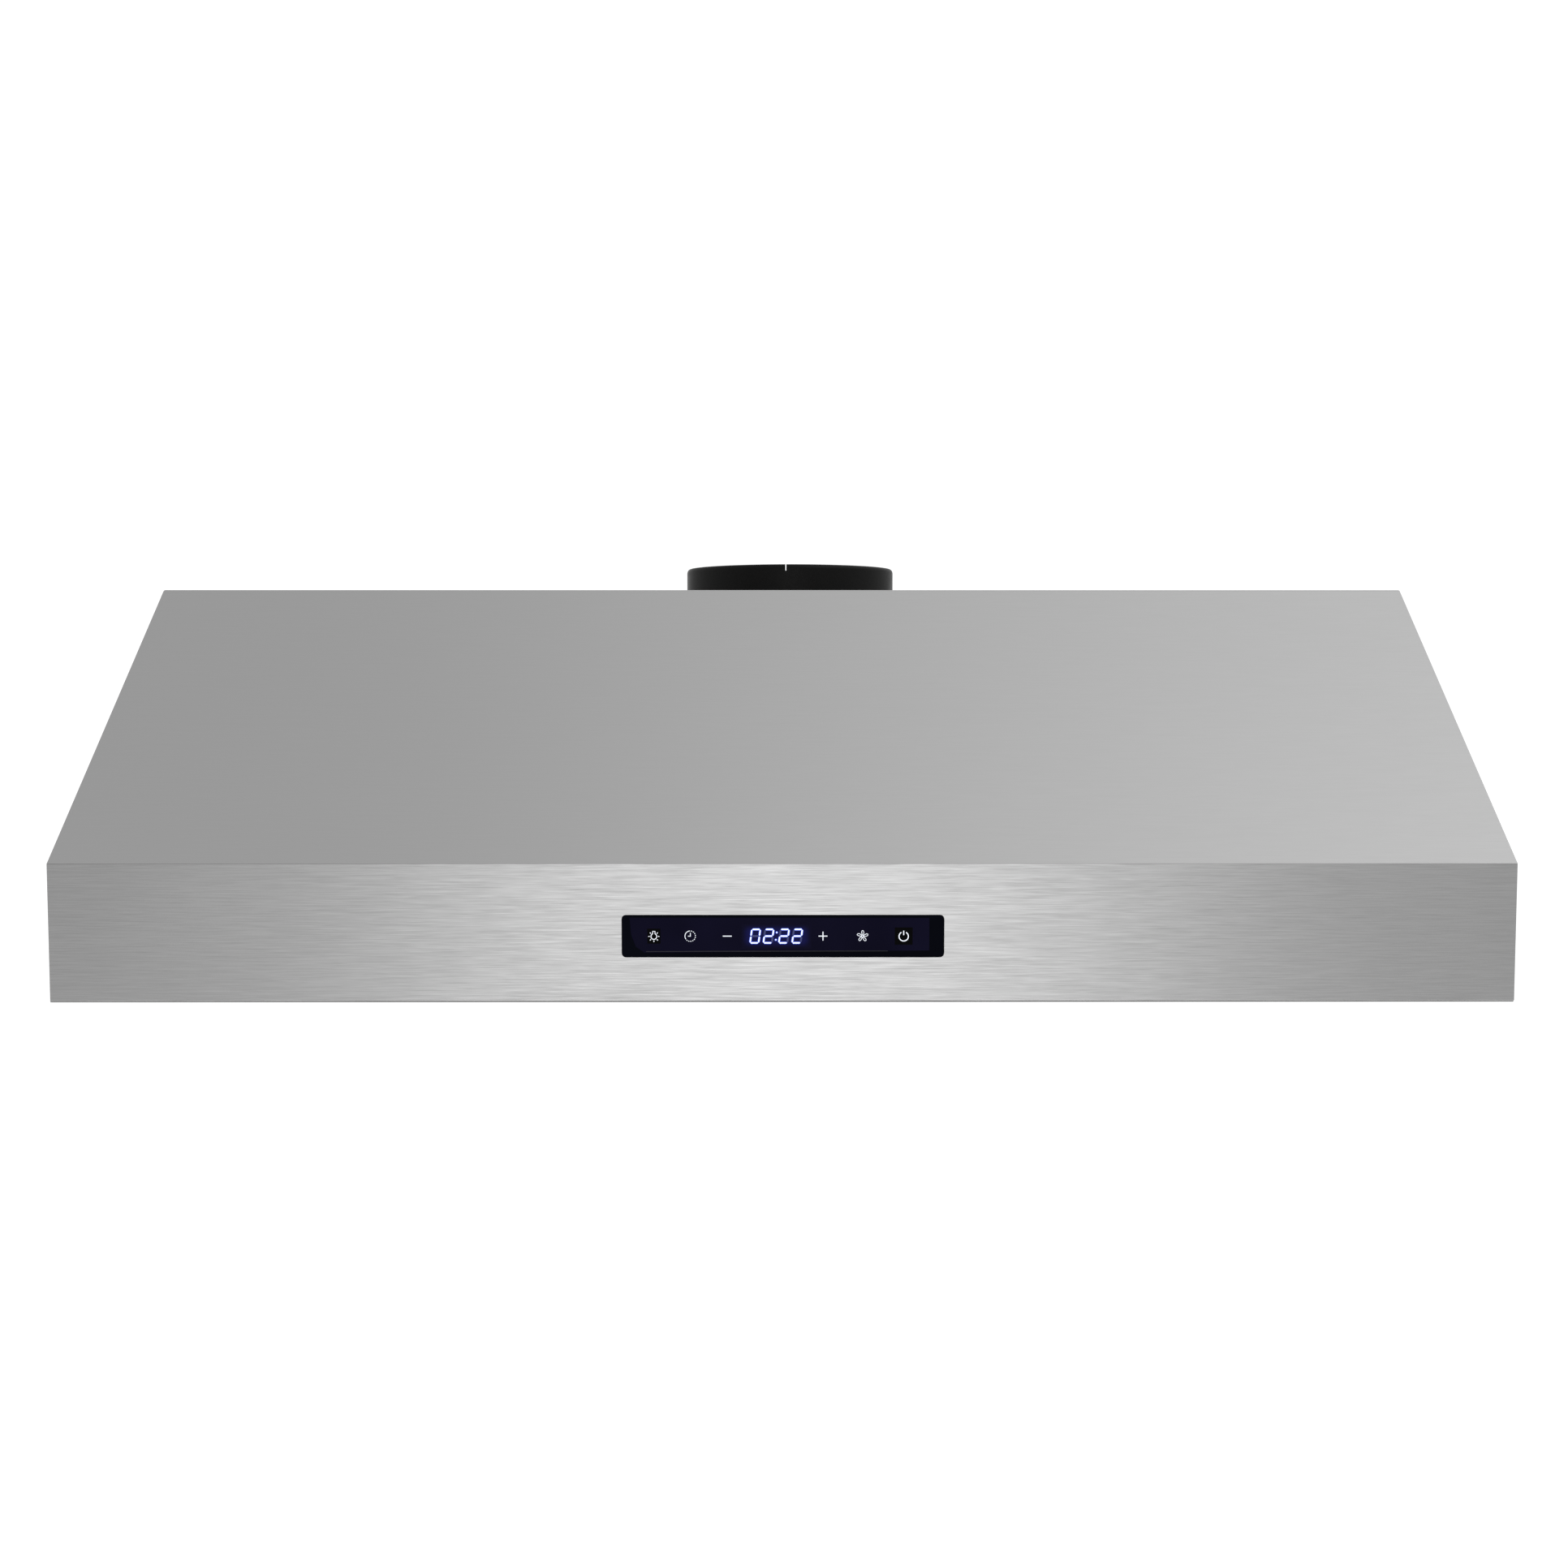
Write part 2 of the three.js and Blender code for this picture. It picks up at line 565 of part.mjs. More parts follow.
// The duct from the scroll's square throat to a circle at one height, and straight on to the top.
function outlet(extra, height, top) {
  const [halfX, halfY] = [SCROLL.half + extra, WHEEL.y + SCROLL.last + extra - DUCT.y];
  const corner = Math.atan2(halfY, halfX);
  const corners = [corner, Math.PI - corner, Math.PI + corner, 2 * Math.PI - corner];
  const sides = 28;
  const even = Array.from({ length: sides }, (_, i) => ((i + 0.5) * 2 * Math.PI) / sides);
  const angles = [...even, ...corners].sort((a, b) => a - b);
  const y = DUCT.y - WHEEL.y;
  const square = angles.map((a) => {
    const reach = Math.min(halfX / Math.abs(Math.cos(a)), halfY / Math.abs(Math.sin(a)));
    return new THREE.Vector3(reach * Math.cos(a), y + reach * Math.sin(a), SCROLL.top - 0.1);
  });
  const radius = SCROLL.outlet + extra;
  const rings = [height, top].map((z) => {
    return angles.map((a) => new THREE.Vector3(radius * Math.cos(a), y + radius * Math.sin(a), z));
  });
  return loft(square, ...rings);
}

function blowerHousing() {
  const { half, wall, inlet } = SCROLL;
  const top = -WHEEL.z - SHEET - DUCT.flangeThick - GAP;
  const under = top - wall;
  const y = DUCT.y - WHEEL.y;
  const [seamRise, seamHalf, mouthWall, mouthRise] = [4, 1.6, 3, 3.5];
  const outer = prismX(scrollOutline(wall), -half - wall, half + wall);
  const inner = prismX(scrollOutline(0), -half, half);
  const flange = disc(DUCT.flange, under, top, 32).translate(0, y, 0);
  const seam = prismX(scrollOutline(wall + seamRise), -seamHalf, seamHalf);
  const mouths = [-1, 1].map((side) => {
    const plate = half + wall / 2;
    const mouth = aboutX(ring(inlet, inlet + mouthWall, plate, half + wall + mouthRise, 28));
    return side > 0 ? mouth : mouth.rotateZ(Math.PI);
  });
  const eyes = aboutX(disc(inlet, -half - 10, half + 10, 28));
  const holes = screwPlaces().map(([x, at]) => {
    return disc(SCREW.hole, under - OVER, top + OVER, 8).translate(x, y + at, 0);
  });
  const whole = join(outer, outlet(wall, under, top), flange, seam, ...mouths);
  return cut(whole, inner, outlet(0, under, top + OVER), eyes, ...holes);
}

// The half of the housing on one side of the seam.
function housingHalf(whole, side) {
  const far = 200;
  return common(whole, box((side * GAP) / 2, side * far, -far, far, -far, far));
}

// The middle of the wheel: a plate that carries the blades on both its faces, and a hub on the shaft.
function impellerPlate() {
  const plate = aboutX(disc(WHEEL.radius, -WHEEL.plate, WHEEL.plate, 24));
  const hub = aboutX(disc(10, -12, 14, 16));
  return cut(join(plate, hub), aboutX(disc(MOTOR.shaft + 0.05, -40, 40, 16)));
}

// The curved blades on one side of the plate, and the band round their ends: side is 1 on the right.
function impellerBlades(side) {
  const { radius, inner, half, plate, blades } = WHEEL;
  const [band, lag] = [4, 9]; // the band's width, and the angle in degrees that a blade trails by
  const line = [0, 0.5, 1].map((share) => {
    const r = inner + share * (radius - 0.6 - inner);
    return arc(0, 0, r, share * share * lag, 0, 1)[0];
  });
  const section = bentSheet(line, 1);
  const [near, far] = side > 0 ? [plate, half] : [-half, -plate];
  const outer = side > 0 ? half - band : -half;
  const vanes = Array.from({ length: blades }, (_, i) => {
    return prismX(section, near, far).rotateX((i * 2 * Math.PI) / blades);
  });
  return join(aboutX(ring(radius - 2.5, radius, outer, outer + band, 24)), ...vanes);
}

function impellerNut() {
  return aboutX(cut(disc(7, 14 + GAP, 19, 6), disc(MOTOR.shaft + 0.05, 10, 25, 16)));
}

// A ring that clamps the motor, on three arms with feet on the side of the housing.
function motorMount() {
  const plate = -SCROLL.half - SCROLL.wall;
  const [back, thick, halfWidth] = [plate - 6, 2, 6];
  const clamp = aboutX(ring(MOTOR.radius + 0.2, MOTOR.radius + 3, back, plate + 6, 32));
  const arms = [90, 210, 330].flatMap((a) => [
    box(back, back + thick, -halfWidth, halfWidth, MOTOR.radius + OVER, 66).rotateX(radians(a)),
    box(back, plate - GAP, -halfWidth, halfWidth, 57, 66).rotateX(radians(a)),
  ]);
  return join(clamp, ...arms);
}

// The motor's case: a can with a seat for the rear bearing, and vents round it.
function motorCase() {
  const { radius, wall, rear, front, shaft, bearing, seat } = MOTOR;
  const profile = [
    [shaft + 1, rear], [radius, rear], [radius, front], [radius - wall, front],
    [radius - wall, rear + wall], [seat, rear + wall], [seat, rear + 9],
    [bearing + 0.1, rear + 9], [bearing + 0.1, rear + wall + 1], [shaft + 1, rear + wall + 1],
  ];
  const vents = [0, 60, 120, 180, 240, 300].map((a) => {
    return box(rear - OVER, rear + wall + OVER, -3, 3, 18, 28).rotateX(radians(a));
  });
  return cut(aboutX(turned(profile, 24)), ...vents);
}

// The motor's front cover, with a seat for the front bearing.
function motorEndCap() {
  const { radius, front, shaft, bearing, seat } = MOTOR;
  const profile = [
    [shaft + 1, front + 7], [seat, front + 7], [radius, front + 2.5], [radius, front + GAP],
    [seat, front + GAP], [seat, front - 3], [bearing + 0.1, front - 3],
    [bearing + 0.1, front + 4], [shaft + 1, front + 4],
  ];
  return aboutX(turned(profile, 24));
}

function motor() {
  const { radius, wall, rear, front, shaft, bore, bearing } = MOTOR;
  const { from, to, bore: stackBore, rotor } = STACK;
  const race = (x) => aboutX(ring(bore, bearing, x, x + 6, 16));
  return [
    piece("motor_case", motorCase(), ZINC),
    piece("motor_end_cap", motorEndCap(), ZINC),
    piece("motor_stator", aboutX(ring(stackBore, radius - wall - 0.6, from, to, 24)), LAMINATION),
    piece("motor_rotor", aboutX(ring(shaft + 0.05, rotor, from, to, 16)), LAMINATION),
    piece("motor_bearing_rear", race(rear + 2.8), STEEL),
    piece("motor_bearing_front", race(front - 2.5), STEEL),
    piece("motor_shaft", aboutX(disc(shaft, rear - 4, 21, 16)), STEEL),
  ];
}

function blower() {
  const housing = blowerHousing();
  return group(
    [
      piece("blower_housing_left", housingHalf(housing, -1), BLACK_PLASTIC),
      piece("blower_housing_right", housingHalf(housing, 1), BLACK_PLASTIC),
      piece("impeller_plate", impellerPlate(), GREY_PLASTIC),
      piece("impeller_blades_left", impellerBlades(-1), GREY_PLASTIC),
      piece("impeller_blades_right", impellerBlades(1), GREY_PLASTIC),
      piece("impeller_nut", impellerNut(), ZINC),
      piece("motor_mount", motorMount(), ZINC),
      ...motor(),
    ],
    DUCT.x,
    WHEEL.y,
    WHEEL.z,
  );
}

// The motor's capacitor, in a strap that hangs from the top.
function capacitor() {
  const { x, y, z, radius, half } = CAPACITOR;
  const can = turned([[0, -half], [radius - 2, -half], [radius, 2 - half], [radius, half], [0, half]], 20);
  const top = UNDER - z;
  const [leg, foot] = [radius + 2, radius + 14];
  const loop = arc(0, 0, radius + GAP, 375, 165, 10);
  const strap = [[foot, top], [leg, top], [leg, 6], ...loop, [-leg, 6], [-leg, top], [-foot, top]];
  return group(
    [
      piece("motor_capacitor", aboutY(can), GREY_PLASTIC),
      piece("capacitor_strap", prismY(bentSheet(strap, 1), -7, 7), ZINC),
    ],
    x,
    y,
    z,
  );
}

// ---- Touch control, made about the middle of the glass's front face ----

function controlTray() {
  const { halfX, halfZ, thick } = PANEL;
  const { margin, deep, wall } = TRAY;
  return cut(
    prismY(roundedRectangle(halfX + margin, halfZ + margin, 3), SHEET + GAP, deep),
    prismY(rectangle(-halfX - GAP, halfX + GAP, -halfZ - GAP, halfZ + GAP), 0, thick + GAP),
    prismY(rectangle(wall - halfX, halfX - wall, wall - halfZ, halfZ - wall), 0, deep - wall),
  );
}

function control() {
  const { halfX, halfZ, corner, thick } = PANEL;
  const [x, z] = [halfX - TRAY.wall - OVER, halfZ - TRAY.wall - OVER];
  const boardFront = 8;
  return group(
    [
      piece("control_glass", prismY(roundedRectangle(halfX, halfZ, corner), 0, thick), GLASS),
      piece("control_housing", controlTray(), BLACK_PLASTIC),
      piece("control_board", box(-x, x, boardFront, boardFront + 1.6, -z, z), BOARD),
      piece("display_module", box(-16, 16, thick + GAP, boardFront - 0.2, -6.5, 6.5), GREY_PLASTIC),
    ],
    0,
    FRONT,
    PANEL.z,
  );
}

// ---- Electronics, made under the top face at the middle of their box ----

// The lid, with a wall inside its edge that fits into the box.
function electronicsLid() {
  const { halfX, halfY, deep, wall, corner } = BOX;
  const [x, y] = [halfX - wall - GAP, halfY - wall - GAP];
  const thick = 2.7;
  const plate = prismZ(roundedRectangle(halfX, halfY, corner), -deep - GAP - wall, -deep - GAP);
  const inner = cut(
    box(-x, x, -y, y, -deep - OVER, -deep + 5),
    box(thick - x, x - thick, thick - y, y - thick, -deep - wall, -deep + 6),
  );
  return join(plate, inner);
}

// The power board with its standoffs, two relays and a row of terminals, hung from the box's roof.
function powerBoard(top) {
  const low = top - 1.6;
  const lap = 0.6; // how far what stands on the board runs into it
  const relays = [-40, -18].map((x) => box(x, x + 16, 14, 34, low - 15.4, low + lap));
  const terminals = box(8, 54, 24, 40, low - 13.4, low + lap);
  const standoffs = [[-54, -38], [54, -38], [-54, 40]].map(([x, y]) => {
    return disc(3, top - lap, UNDER - BOX.wall - GAP, 8).translate(x, y, 0);
  });
  return join(box(-58, 58, -44, 44, low, top), ...relays, terminals, ...standoffs);
}

function electronics() {
  const { x, y, halfX, halfY, deep, wall, corner } = BOX;
  const shell = cut(
    prismZ(roundedRectangle(halfX, halfY, corner), -deep, UNDER),
    box(wall - halfX, halfX - wall, wall - halfY, halfY - wall, -deep - OVER, UNDER - wall),
  );
  const boardTop = -10;
  const low = boardTop - 1.6 - GAP;
  const transformer = join(box(-14, 30, -32, -2, low - 24, low), box(-6, 22, -38, 4, low - 19, low - 5));
  return group(
    [
      piece("electronics_box", shell, GREY_PLASTIC),
      piece("electronics_lid", electronicsLid(), GREY_PLASTIC),
      piece("power_board", powerBoard(boardTop), BOARD),
      piece("transformer", transformer, COPPER),
    ],
    x,
    y,
    0,
  );
}

// The bushing under the hole in the top where the supply cable comes in.
function cableBushing() {
  const { x, y, hole, cable, flange } = ENTRY;
  const [low, top, barrel] = [-4.2, -0.2, hole - GAP];
  const bushing = turned(
    [[cable, low], [flange, low], [flange, UNDER], [barrel, UNDER], [barrel, top], [cable, top]],
    16,
  );
  return piece("cable_bushing", bushing.translate(x, y, 0), RUBBER);
}

// ---- Leads between the electronics and what they drive ----

function leads() {
  const control = [
    [62, -236.5, -180], [62, -226, -180], [80, -214, -172], [140, -195, -150], [205, -150, -100],
    [235, -75, -48], [240, 0, -28], [240, 60, -25], [240, BOX.y - BOX.halfY - GAP, -25],
  ];
  const motorTail = [DUCT.x + MOTOR.rear - GAP, WHEEL.y + 22, WHEEL.z];
  const motor = [
    motorTail, [-88, WHEEL.y + 21, -89], [-100, 118, -80], [-104, 80, -62], [-80, 24, -48], [0, 6, -40],
    [90, 20, -34], [140, 90, -30], [170, 130, -28], [BOX.x - BOX.halfX - 1, 134, -28],
  ];
  const light = (side) => {
    const half = [
      [LAMP.x, LAMP.y, -185.7], [LAMP.x, LAMP.y, -178], [228, -186, -170], [200, -205, -168],
      [140, -228, -176], [100, -240, PANEL.z], [PANEL.halfX + TRAY.margin + 0.5, -242, PANEL.z],
    ];
    return half.map(([x, y, z]) => [side * x, y, z]);
  };
  return group([
    piece("control_lead", lead(control, 3, 22), RUBBER),
    piece("motor_lead", lead(motor, 3, 22), RUBBER),
    piece("lamp_lead_left", lead(light(-1), 2, 16), RUBBER),
    piece("lamp_lead_right", lead(light(1), 2, 16), RUBBER),
  ]);
}

// ---- The hood ----

const hood = group([
  canopy(),
  filter("left", -FILTER.x),
  filter("right", FILTER.x),
  lamp("left", -LAMP.x),
  lamp("right", LAMP.x),
  duct(),
  blower(),
  capacitor(),
  control(),
  electronics(),
  cableBushing(),
  leads(),
]);
hood.name = "under_cabinet_range_hood";

export default hood;
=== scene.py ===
"""The looks of the under cabinet range hood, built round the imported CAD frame. Blender 4.5."""

import math

import bmesh
import bpy
from mathutils import Matrix, Vector


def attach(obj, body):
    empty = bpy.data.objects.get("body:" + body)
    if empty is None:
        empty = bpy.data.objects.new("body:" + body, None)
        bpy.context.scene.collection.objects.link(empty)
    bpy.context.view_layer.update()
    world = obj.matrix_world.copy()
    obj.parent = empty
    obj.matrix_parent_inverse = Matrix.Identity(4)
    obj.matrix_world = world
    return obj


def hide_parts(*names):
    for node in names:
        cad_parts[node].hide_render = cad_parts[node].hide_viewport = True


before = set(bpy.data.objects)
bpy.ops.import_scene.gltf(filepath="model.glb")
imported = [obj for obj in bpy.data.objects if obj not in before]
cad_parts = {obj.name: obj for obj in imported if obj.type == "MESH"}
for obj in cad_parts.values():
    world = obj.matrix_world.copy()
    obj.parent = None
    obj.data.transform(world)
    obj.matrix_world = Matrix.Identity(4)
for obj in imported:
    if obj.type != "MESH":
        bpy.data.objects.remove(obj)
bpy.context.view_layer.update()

MM = 0.001
ROOT = "canopy"

# ---- Places of the CAD parts that the finer pieces follow, in millimetres ----

FRONT = -254.0
PANEL_Z = -185.5
DUCT = (6.0, 146.0)
PIN_Z = 12.0
LAMPS = {"left": -236.0, "right": 236.0}
LAMP_Y = -180.0
LAMP_Z = -207.2
FILTERS = {"left": -161.0, "right": 161.0}
FILTER_Y = 49.5
FILTER_Z = -207.0


def metres(*millimetres):
    """A point in metres, from its coordinates in millimetres."""
    return tuple(value * MM for value in millimetres)


# ---- Camera ----

# The place is in metres. The angles are in degrees, down from level and right of straight ahead.
CAMERA = {"place": (-0.0021, -1.1659, -0.048), "down": 3.70, "right": 0.165}
CAMERA_LENS = 40.95
CAMERA_SENSOR = 36.0
CAMERA_REACH = 100.0


def add_camera():
    data = bpy.data.cameras.new("camera")
    data.sensor_width = CAMERA_SENSOR
    data.lens = CAMERA_LENS
    data.clip_end = CAMERA_REACH
    data.dof.use_dof = False
    camera = bpy.data.objects.new("camera", data)
    bpy.context.scene.collection.objects.link(camera)
    camera.location = CAMERA["place"]
    camera.rotation_euler = (math.radians(90 - CAMERA["down"]), 0, math.radians(-CAMERA["right"]))
    bpy.context.scene.camera = camera


add_camera()


# ---- Materials ----

# Most of a noise's values lie in this range.
NOISE_RANGE = (0.3, 0.7)
NOISE_ROUGHNESS = 0.6


class Shader:
    """A material's node tree, with short calls for the nodes used here."""

    def __init__(self, name, color, roughness, metallic=0.0, **sockets):
        self.material = bpy.data.materials.new(name)
        self.material.use_nodes = True
        self.tree = self.material.node_tree
        self.surface = self.tree.nodes["Principled BSDF"]
        self.surface.inputs["Base Color"].default_value = (*color, 1)
        self.surface.inputs["Roughness"].default_value = roughness
        self.surface.inputs["Metallic"].default_value = metallic
        for socket, value in sockets.items():
            self.surface.inputs[socket.replace("_", " ")].default_value = value
        self.color = color
        self.place = self.node("ShaderNodeTexCoord").outputs["Object"]

    def node(self, kind, **settings):
        made = self.tree.nodes.new(kind)
        for key, value in settings.items():
            setattr(made, key, value)
        return made

    def link(self, source, target):
        self.tree.links.new(source, target)

    def noise(self, scale, stretch=(1, 1, 1), detail=3.0):
        """Noise with features of about 1 / scale metres, scaled further along each axis by stretch."""
        mapping = self.node("ShaderNodeMapping")
        mapping.inputs["Scale"].default_value = stretch
        self.link(self.place, mapping.inputs["Vector"])
        made = self.node("ShaderNodeTexNoise")
        made.inputs["Scale"].default_value = scale
        made.inputs["Detail"].default_value = detail
        made.inputs["Roughness"].default_value = NOISE_ROUGHNESS
        self.link(mapping.outputs["Vector"], made.inputs["Vector"])
        return made.outputs["Fac"]

    def math(self, operation, a, b):
        made = self.node("ShaderNodeMath", operation=operation)
        for socket, value in zip(made.inputs, (a, b)):
            if isinstance(value, (int, float)):
                socket.default_value = value
            else:
                self.link(value, socket)
        return made.outputs[0]

    def blend(self, a, b, share):
        """A mix of two values, with this share of the first."""
        return self.math("ADD", self.math("MULTIPLY", a, share), self.math("MULTIPLY", b, 1 - share))

    def spread(self, value, low, high, start=NOISE_RANGE[0], end=NOISE_RANGE[1]):
        """Maps the range start to end of a value to low to high."""
        made = self.node("ShaderNodeMapRange")
        for name, number in (("From Min", start), ("From Max", end), ("To Min", low), ("To Max", high)):
            made.inputs[name].default_value = number
        self.link(value, made.inputs["Value"])
        return made.outputs["Result"]

    def shade(self, value, dark, light):
        """Colours the surface between two factors of its own colour."""
        ramp = self.node("ShaderNodeValToRGB")
        for end, place, factor in zip(ramp.color_ramp.elements, NOISE_RANGE, (dark, light)):
            end.position = place
            end.color = (*[min(1, c * factor) for c in self.color], 1)
        self.link(value, ramp.inputs["Fac"])
        self.link(ramp.outputs["Color"], self.surface.inputs["Base Color"])

    def rough(self, value, low, high):
        self.link(self.spread(value, low, high), self.surface.inputs["Roughness"])

    def bump(self, value, depth):
        """Raises the surface by up to depth metres."""
        made = self.node("ShaderNodeBump")
        made.inputs["Strength"].default_value = 1.0
        made.inputs["Distance"].default_value = depth
        self.link(value, made.inputs["Height"])
        self.link(made.outputs["Normal"], self.surface.inputs["Normal"])


# A noise's scale in features per metre, and the factor on it along the grain, which draws features out.
FINE_SCRATCHES = (2400, 0.025)
BROAD_SCRATCHES = (1300, 0.024)
SHEET_CLOUDS = 9


def brushed(name, grain, color, roughness, contrast, depth=2e-6):
    """Brushed steel: fine scratches along the axis where grain is 1, with broader bands among them."""
    made = Shader(name, color, roughness, 1.0)
    scratches = [
        made.noise(scale, [factor if along else 1 for along in grain], detail=2)
        for scale, factor in (FINE_SCRATCHES, BROAD_SCRATCHES)
    ]
    cloud = made.noise(SHEET_CLOUDS, detail=2)
    lines = made.blend(*scratches, 0.6)
    made.shade(made.blend(lines, cloud, 0.88), 1 - contrast, 1 + contrast)
    made.rough(lines, roughness + 0.06, roughness - 0.04)
    made.bump(lines, depth)
    return made.material


def moulded(name, color, roughness, grain=2e-5, shine=0.4, speckle=0.16):
    """Moulded plastic with a fine spark-eroded texture, and a speckle in its colour."""
    made = Shader(name, color, roughness, 0.0, Specular_IOR_Level=shine)
    fine = made.noise(1500)
    cloud = made.noise(26)
    made.shade(made.blend(fine, cloud, 0.7), 1 - speckle, 1 + speckle)
    made.rough(cloud, roughness - 0.05, roughness + 0.07)
    made.bump(fine, grain)
    return made.material


def plated(name, color, roughness, scale=160):
    """Zinc plate or cast metal, with a faint mottle."""
    made = Shader(name, color, roughness, 1.0)
    mottle = made.noise(scale, detail=4)
    fine = made.noise(1800, detail=2)
    made.shade(mottle, 0.86, 1.1)
    made.rough(mottle, roughness - 0.06, roughness + 0.1)
    made.bump(fine, 6e-6)
    return made.material


def stripes(made, axis, per_metre):
    """A wave along one axis, from 0 to 1."""
    split = made.node("ShaderNodeSeparateXYZ")
    made.link(made.place, split.inputs[0])
    wave = made.math("SINE", made.math("MULTIPLY", split.outputs[axis], 2 * math.pi * per_metre), 0)
    return made.math("ADD", made.math("MULTIPLY", wave, 0.5), 0.5)


def laminated(name, color, axis):
    """A stack of thin steel sheets, as fine lines along one axis."""
    made = Shader(name, color, 0.5, 1.0)
    lines = stripes(made, axis, 900)
    made.shade(lines, 0.7, 1.15)
    made.bump(lines, 1e-4)
    return made.material


def circuit_board():
    """Solder resist over copper tracks."""
    made = Shader("circuit_board", (0.03, 0.16, 0.06), 0.45)
    tracks = made.node("ShaderNodeTexBrick", offset=0.37, squash=1.6, squash_frequency=3)
    made.link(made.place, tracks.inputs["Vector"])
    tracks.inputs["Scale"].default_value = 190
    tracks.inputs["Mortar Size"].default_value = 0.035
    for name, tone in (("Color1", 1.0), ("Color2", 0.8), ("Mortar", 1.9)):
        tracks.inputs[name].default_value = (*[c * tone for c in made.color], 1)
    made.link(tracks.outputs["Color"], made.surface.inputs["Base Color"])
    made.bump(tracks.outputs["Fac"], 3e-5)
    return made.material


def winding():
    """A coil of enamelled copper wire."""
    made = Shader("copper", (0.55, 0.23, 0.1), 0.35, 1.0)
    lines = stripes(made, 0, 1300)
    made.shade(lines, 0.55, 1.2)
    made.bump(lines, 2e-4)
    return made.material


def frosted():
    """A lamp's frosted lens, lit a little from behind."""
    made = Shader("lamp_lens", (0.86, 0.88, 0.9), 0.35, 0.0, Emission_Strength=0.25)
    made.surface.inputs["Emission Color"].default_value = (0.9, 0.95, 1.0, 1)
    dots = made.node("ShaderNodeTexVoronoi")
    dots.inputs["Scale"].default_value = 420
    made.link(made.place, dots.inputs["Vector"])
    made.shade(dots.outputs["Distance"], 0.93, 1.04)
    made.bump(dots.outputs["Distance"], 2e-4)
    return made.material


FILM_COLOR = (0.0068, 0.006, 0.0225)
GLASS_SHINE = 0.015


def glass():
    """Black printed touch glass, very smooth, with the faintest unevenness."""
    made = Shader("touch_glass", (0.0017, 0.0023, 0.006), 0.09, 0.0, Specular_IOR_Level=GLASS_SHINE)
    cloud = made.noise(30, detail=2)
    made.shade(cloud, 0.8, 1.2)
    made.rough(cloud, 0.07, 0.12)
    return made.material


def film():
    """The navy window printed behind the glass."""
    made = Shader("display_film", FILM_COLOR, 0.1, 0.0, Specular_IOR_Level=GLASS_SHINE)
    cloud = made.noise(22, detail=2)
    made.shade(cloud, 0.75, 1.2)
    return made.material


# The painted glow round the clock, an emission on the film that stands in for the display's light spilling
# through it: its middle on the panel, its half size and how wide its edges fade.
PAINTED_GLOW_AT = (-3.4, 0.0)
PAINTED_GLOW_HALF = (18.0, 6.4)
PAINTED_GLOW_FADE = 4.0
PAINTED_GLOW_COLOR = (0.003, 0.004, 0.045)


def painted_glow_film():
    """The film round the clock's digits, with a painted blue glow, standing in for the display's light, that
    fades out towards the plate's edges.
    """
    made = Shader(
        "digit_painted_glow", FILM_COLOR, 0.1, 0.0, Specular_IOR_Level=GLASS_SHINE, Emission_Strength=1.0
    )
    split = made.node("ShaderNodeSeparateXYZ")
    made.link(made.place, split.inputs[0])
    fades = []
    for axis, middle, half in ((0, PAINTED_GLOW_AT[0], PAINTED_GLOW_HALF[0]), (2, PANEL_Z + PAINTED_GLOW_AT[1], PAINTED_GLOW_HALF[1])):
        away = made.math("ABSOLUTE", made.math("SUBTRACT", split.outputs[axis], middle * MM), 0)
        fades.append(made.spread(away, 1, 0, (half - PAINTED_GLOW_FADE) * MM, half * MM))
    faded = made.math("MULTIPLY", *fades)
    ramp = made.node("ShaderNodeValToRGB")
    ramp.color_ramp.interpolation = "EASE"
    ramp.color_ramp.elements[0].color = (0, 0, 0, 1)
    ramp.color_ramp.elements[1].color = (*PAINTED_GLOW_COLOR, 1)
    made.link(faded, ramp.inputs["Fac"])
    made.link(ramp.outputs["Color"], made.surface.inputs["Emission Color"])
    return made.material


def lit(name, color, strength):
    """Printing or a display segment that light shines through."""
    made = Shader(name, [c * 0.3 for c in color], 0.4, 0.0, Emission_Strength=strength)
    cloud = made.noise(900, detail=2)
    ramp = made.node("ShaderNodeValToRGB")
    ramp.color_ramp.elements[0].color = (*[c * 0.9 for c in color], 1)
    ramp.color_ramp.elements[1].color = (*color, 1)
    made.link(cloud, ramp.inputs["Fac"])
    made.link(ramp.outputs["Color"], made.surface.inputs["Emission Color"])
    return made.material


STEEL_FRONT = brushed("steel_front", (1, 0, 0), (0.6, 0.6, 0.6), 0.34, 0.18, 3e-6)
STEEL_SLOPE = brushed("steel_slope", (1, 0, 0), (0.62, 0.62, 0.62), 0.34, 0.014, 3e-7)
STEEL_SIDE = brushed("steel_side", (0, 1, 0), (0.62, 0.62, 0.62), 0.34, 0.08)
STEEL_WIDE = brushed("steel_wide", (1, 0, 0), (0.6, 0.6, 0.6), 0.34, 0.08)
STEEL_BAFFLE = brushed("steel_baffle", (0, 1, 0), (0.66, 0.66, 0.66), 0.28, 0.07)
STEEL_WIRE = brushed("steel_wire", (1, 0, 0), (0.6, 0.6, 0.6), 0.22, 0.04)
STEEL_RING = plated("steel_ring", (0.6, 0.6, 0.6), 0.25, 40)
ZINC = plated("zinc_plate", (0.5, 0.52, 0.55), 0.42)
CAST = plated("heat_sink", (0.5, 0.5, 0.52), 0.5, 400)
BEARING = plated("bearing_steel", (0.56, 0.56, 0.58), 0.2, 60)
BLACK = moulded("black_plastic", (0.0042, 0.0042, 0.004), 0.3, 1e-4, 0.17, 1.0)
HOUSING = moulded("housing_plastic", (0.02, 0.02, 0.02), 0.55, 4e-5)
GREY = moulded("grey_plastic", (0.075, 0.08, 0.085), 0.5)
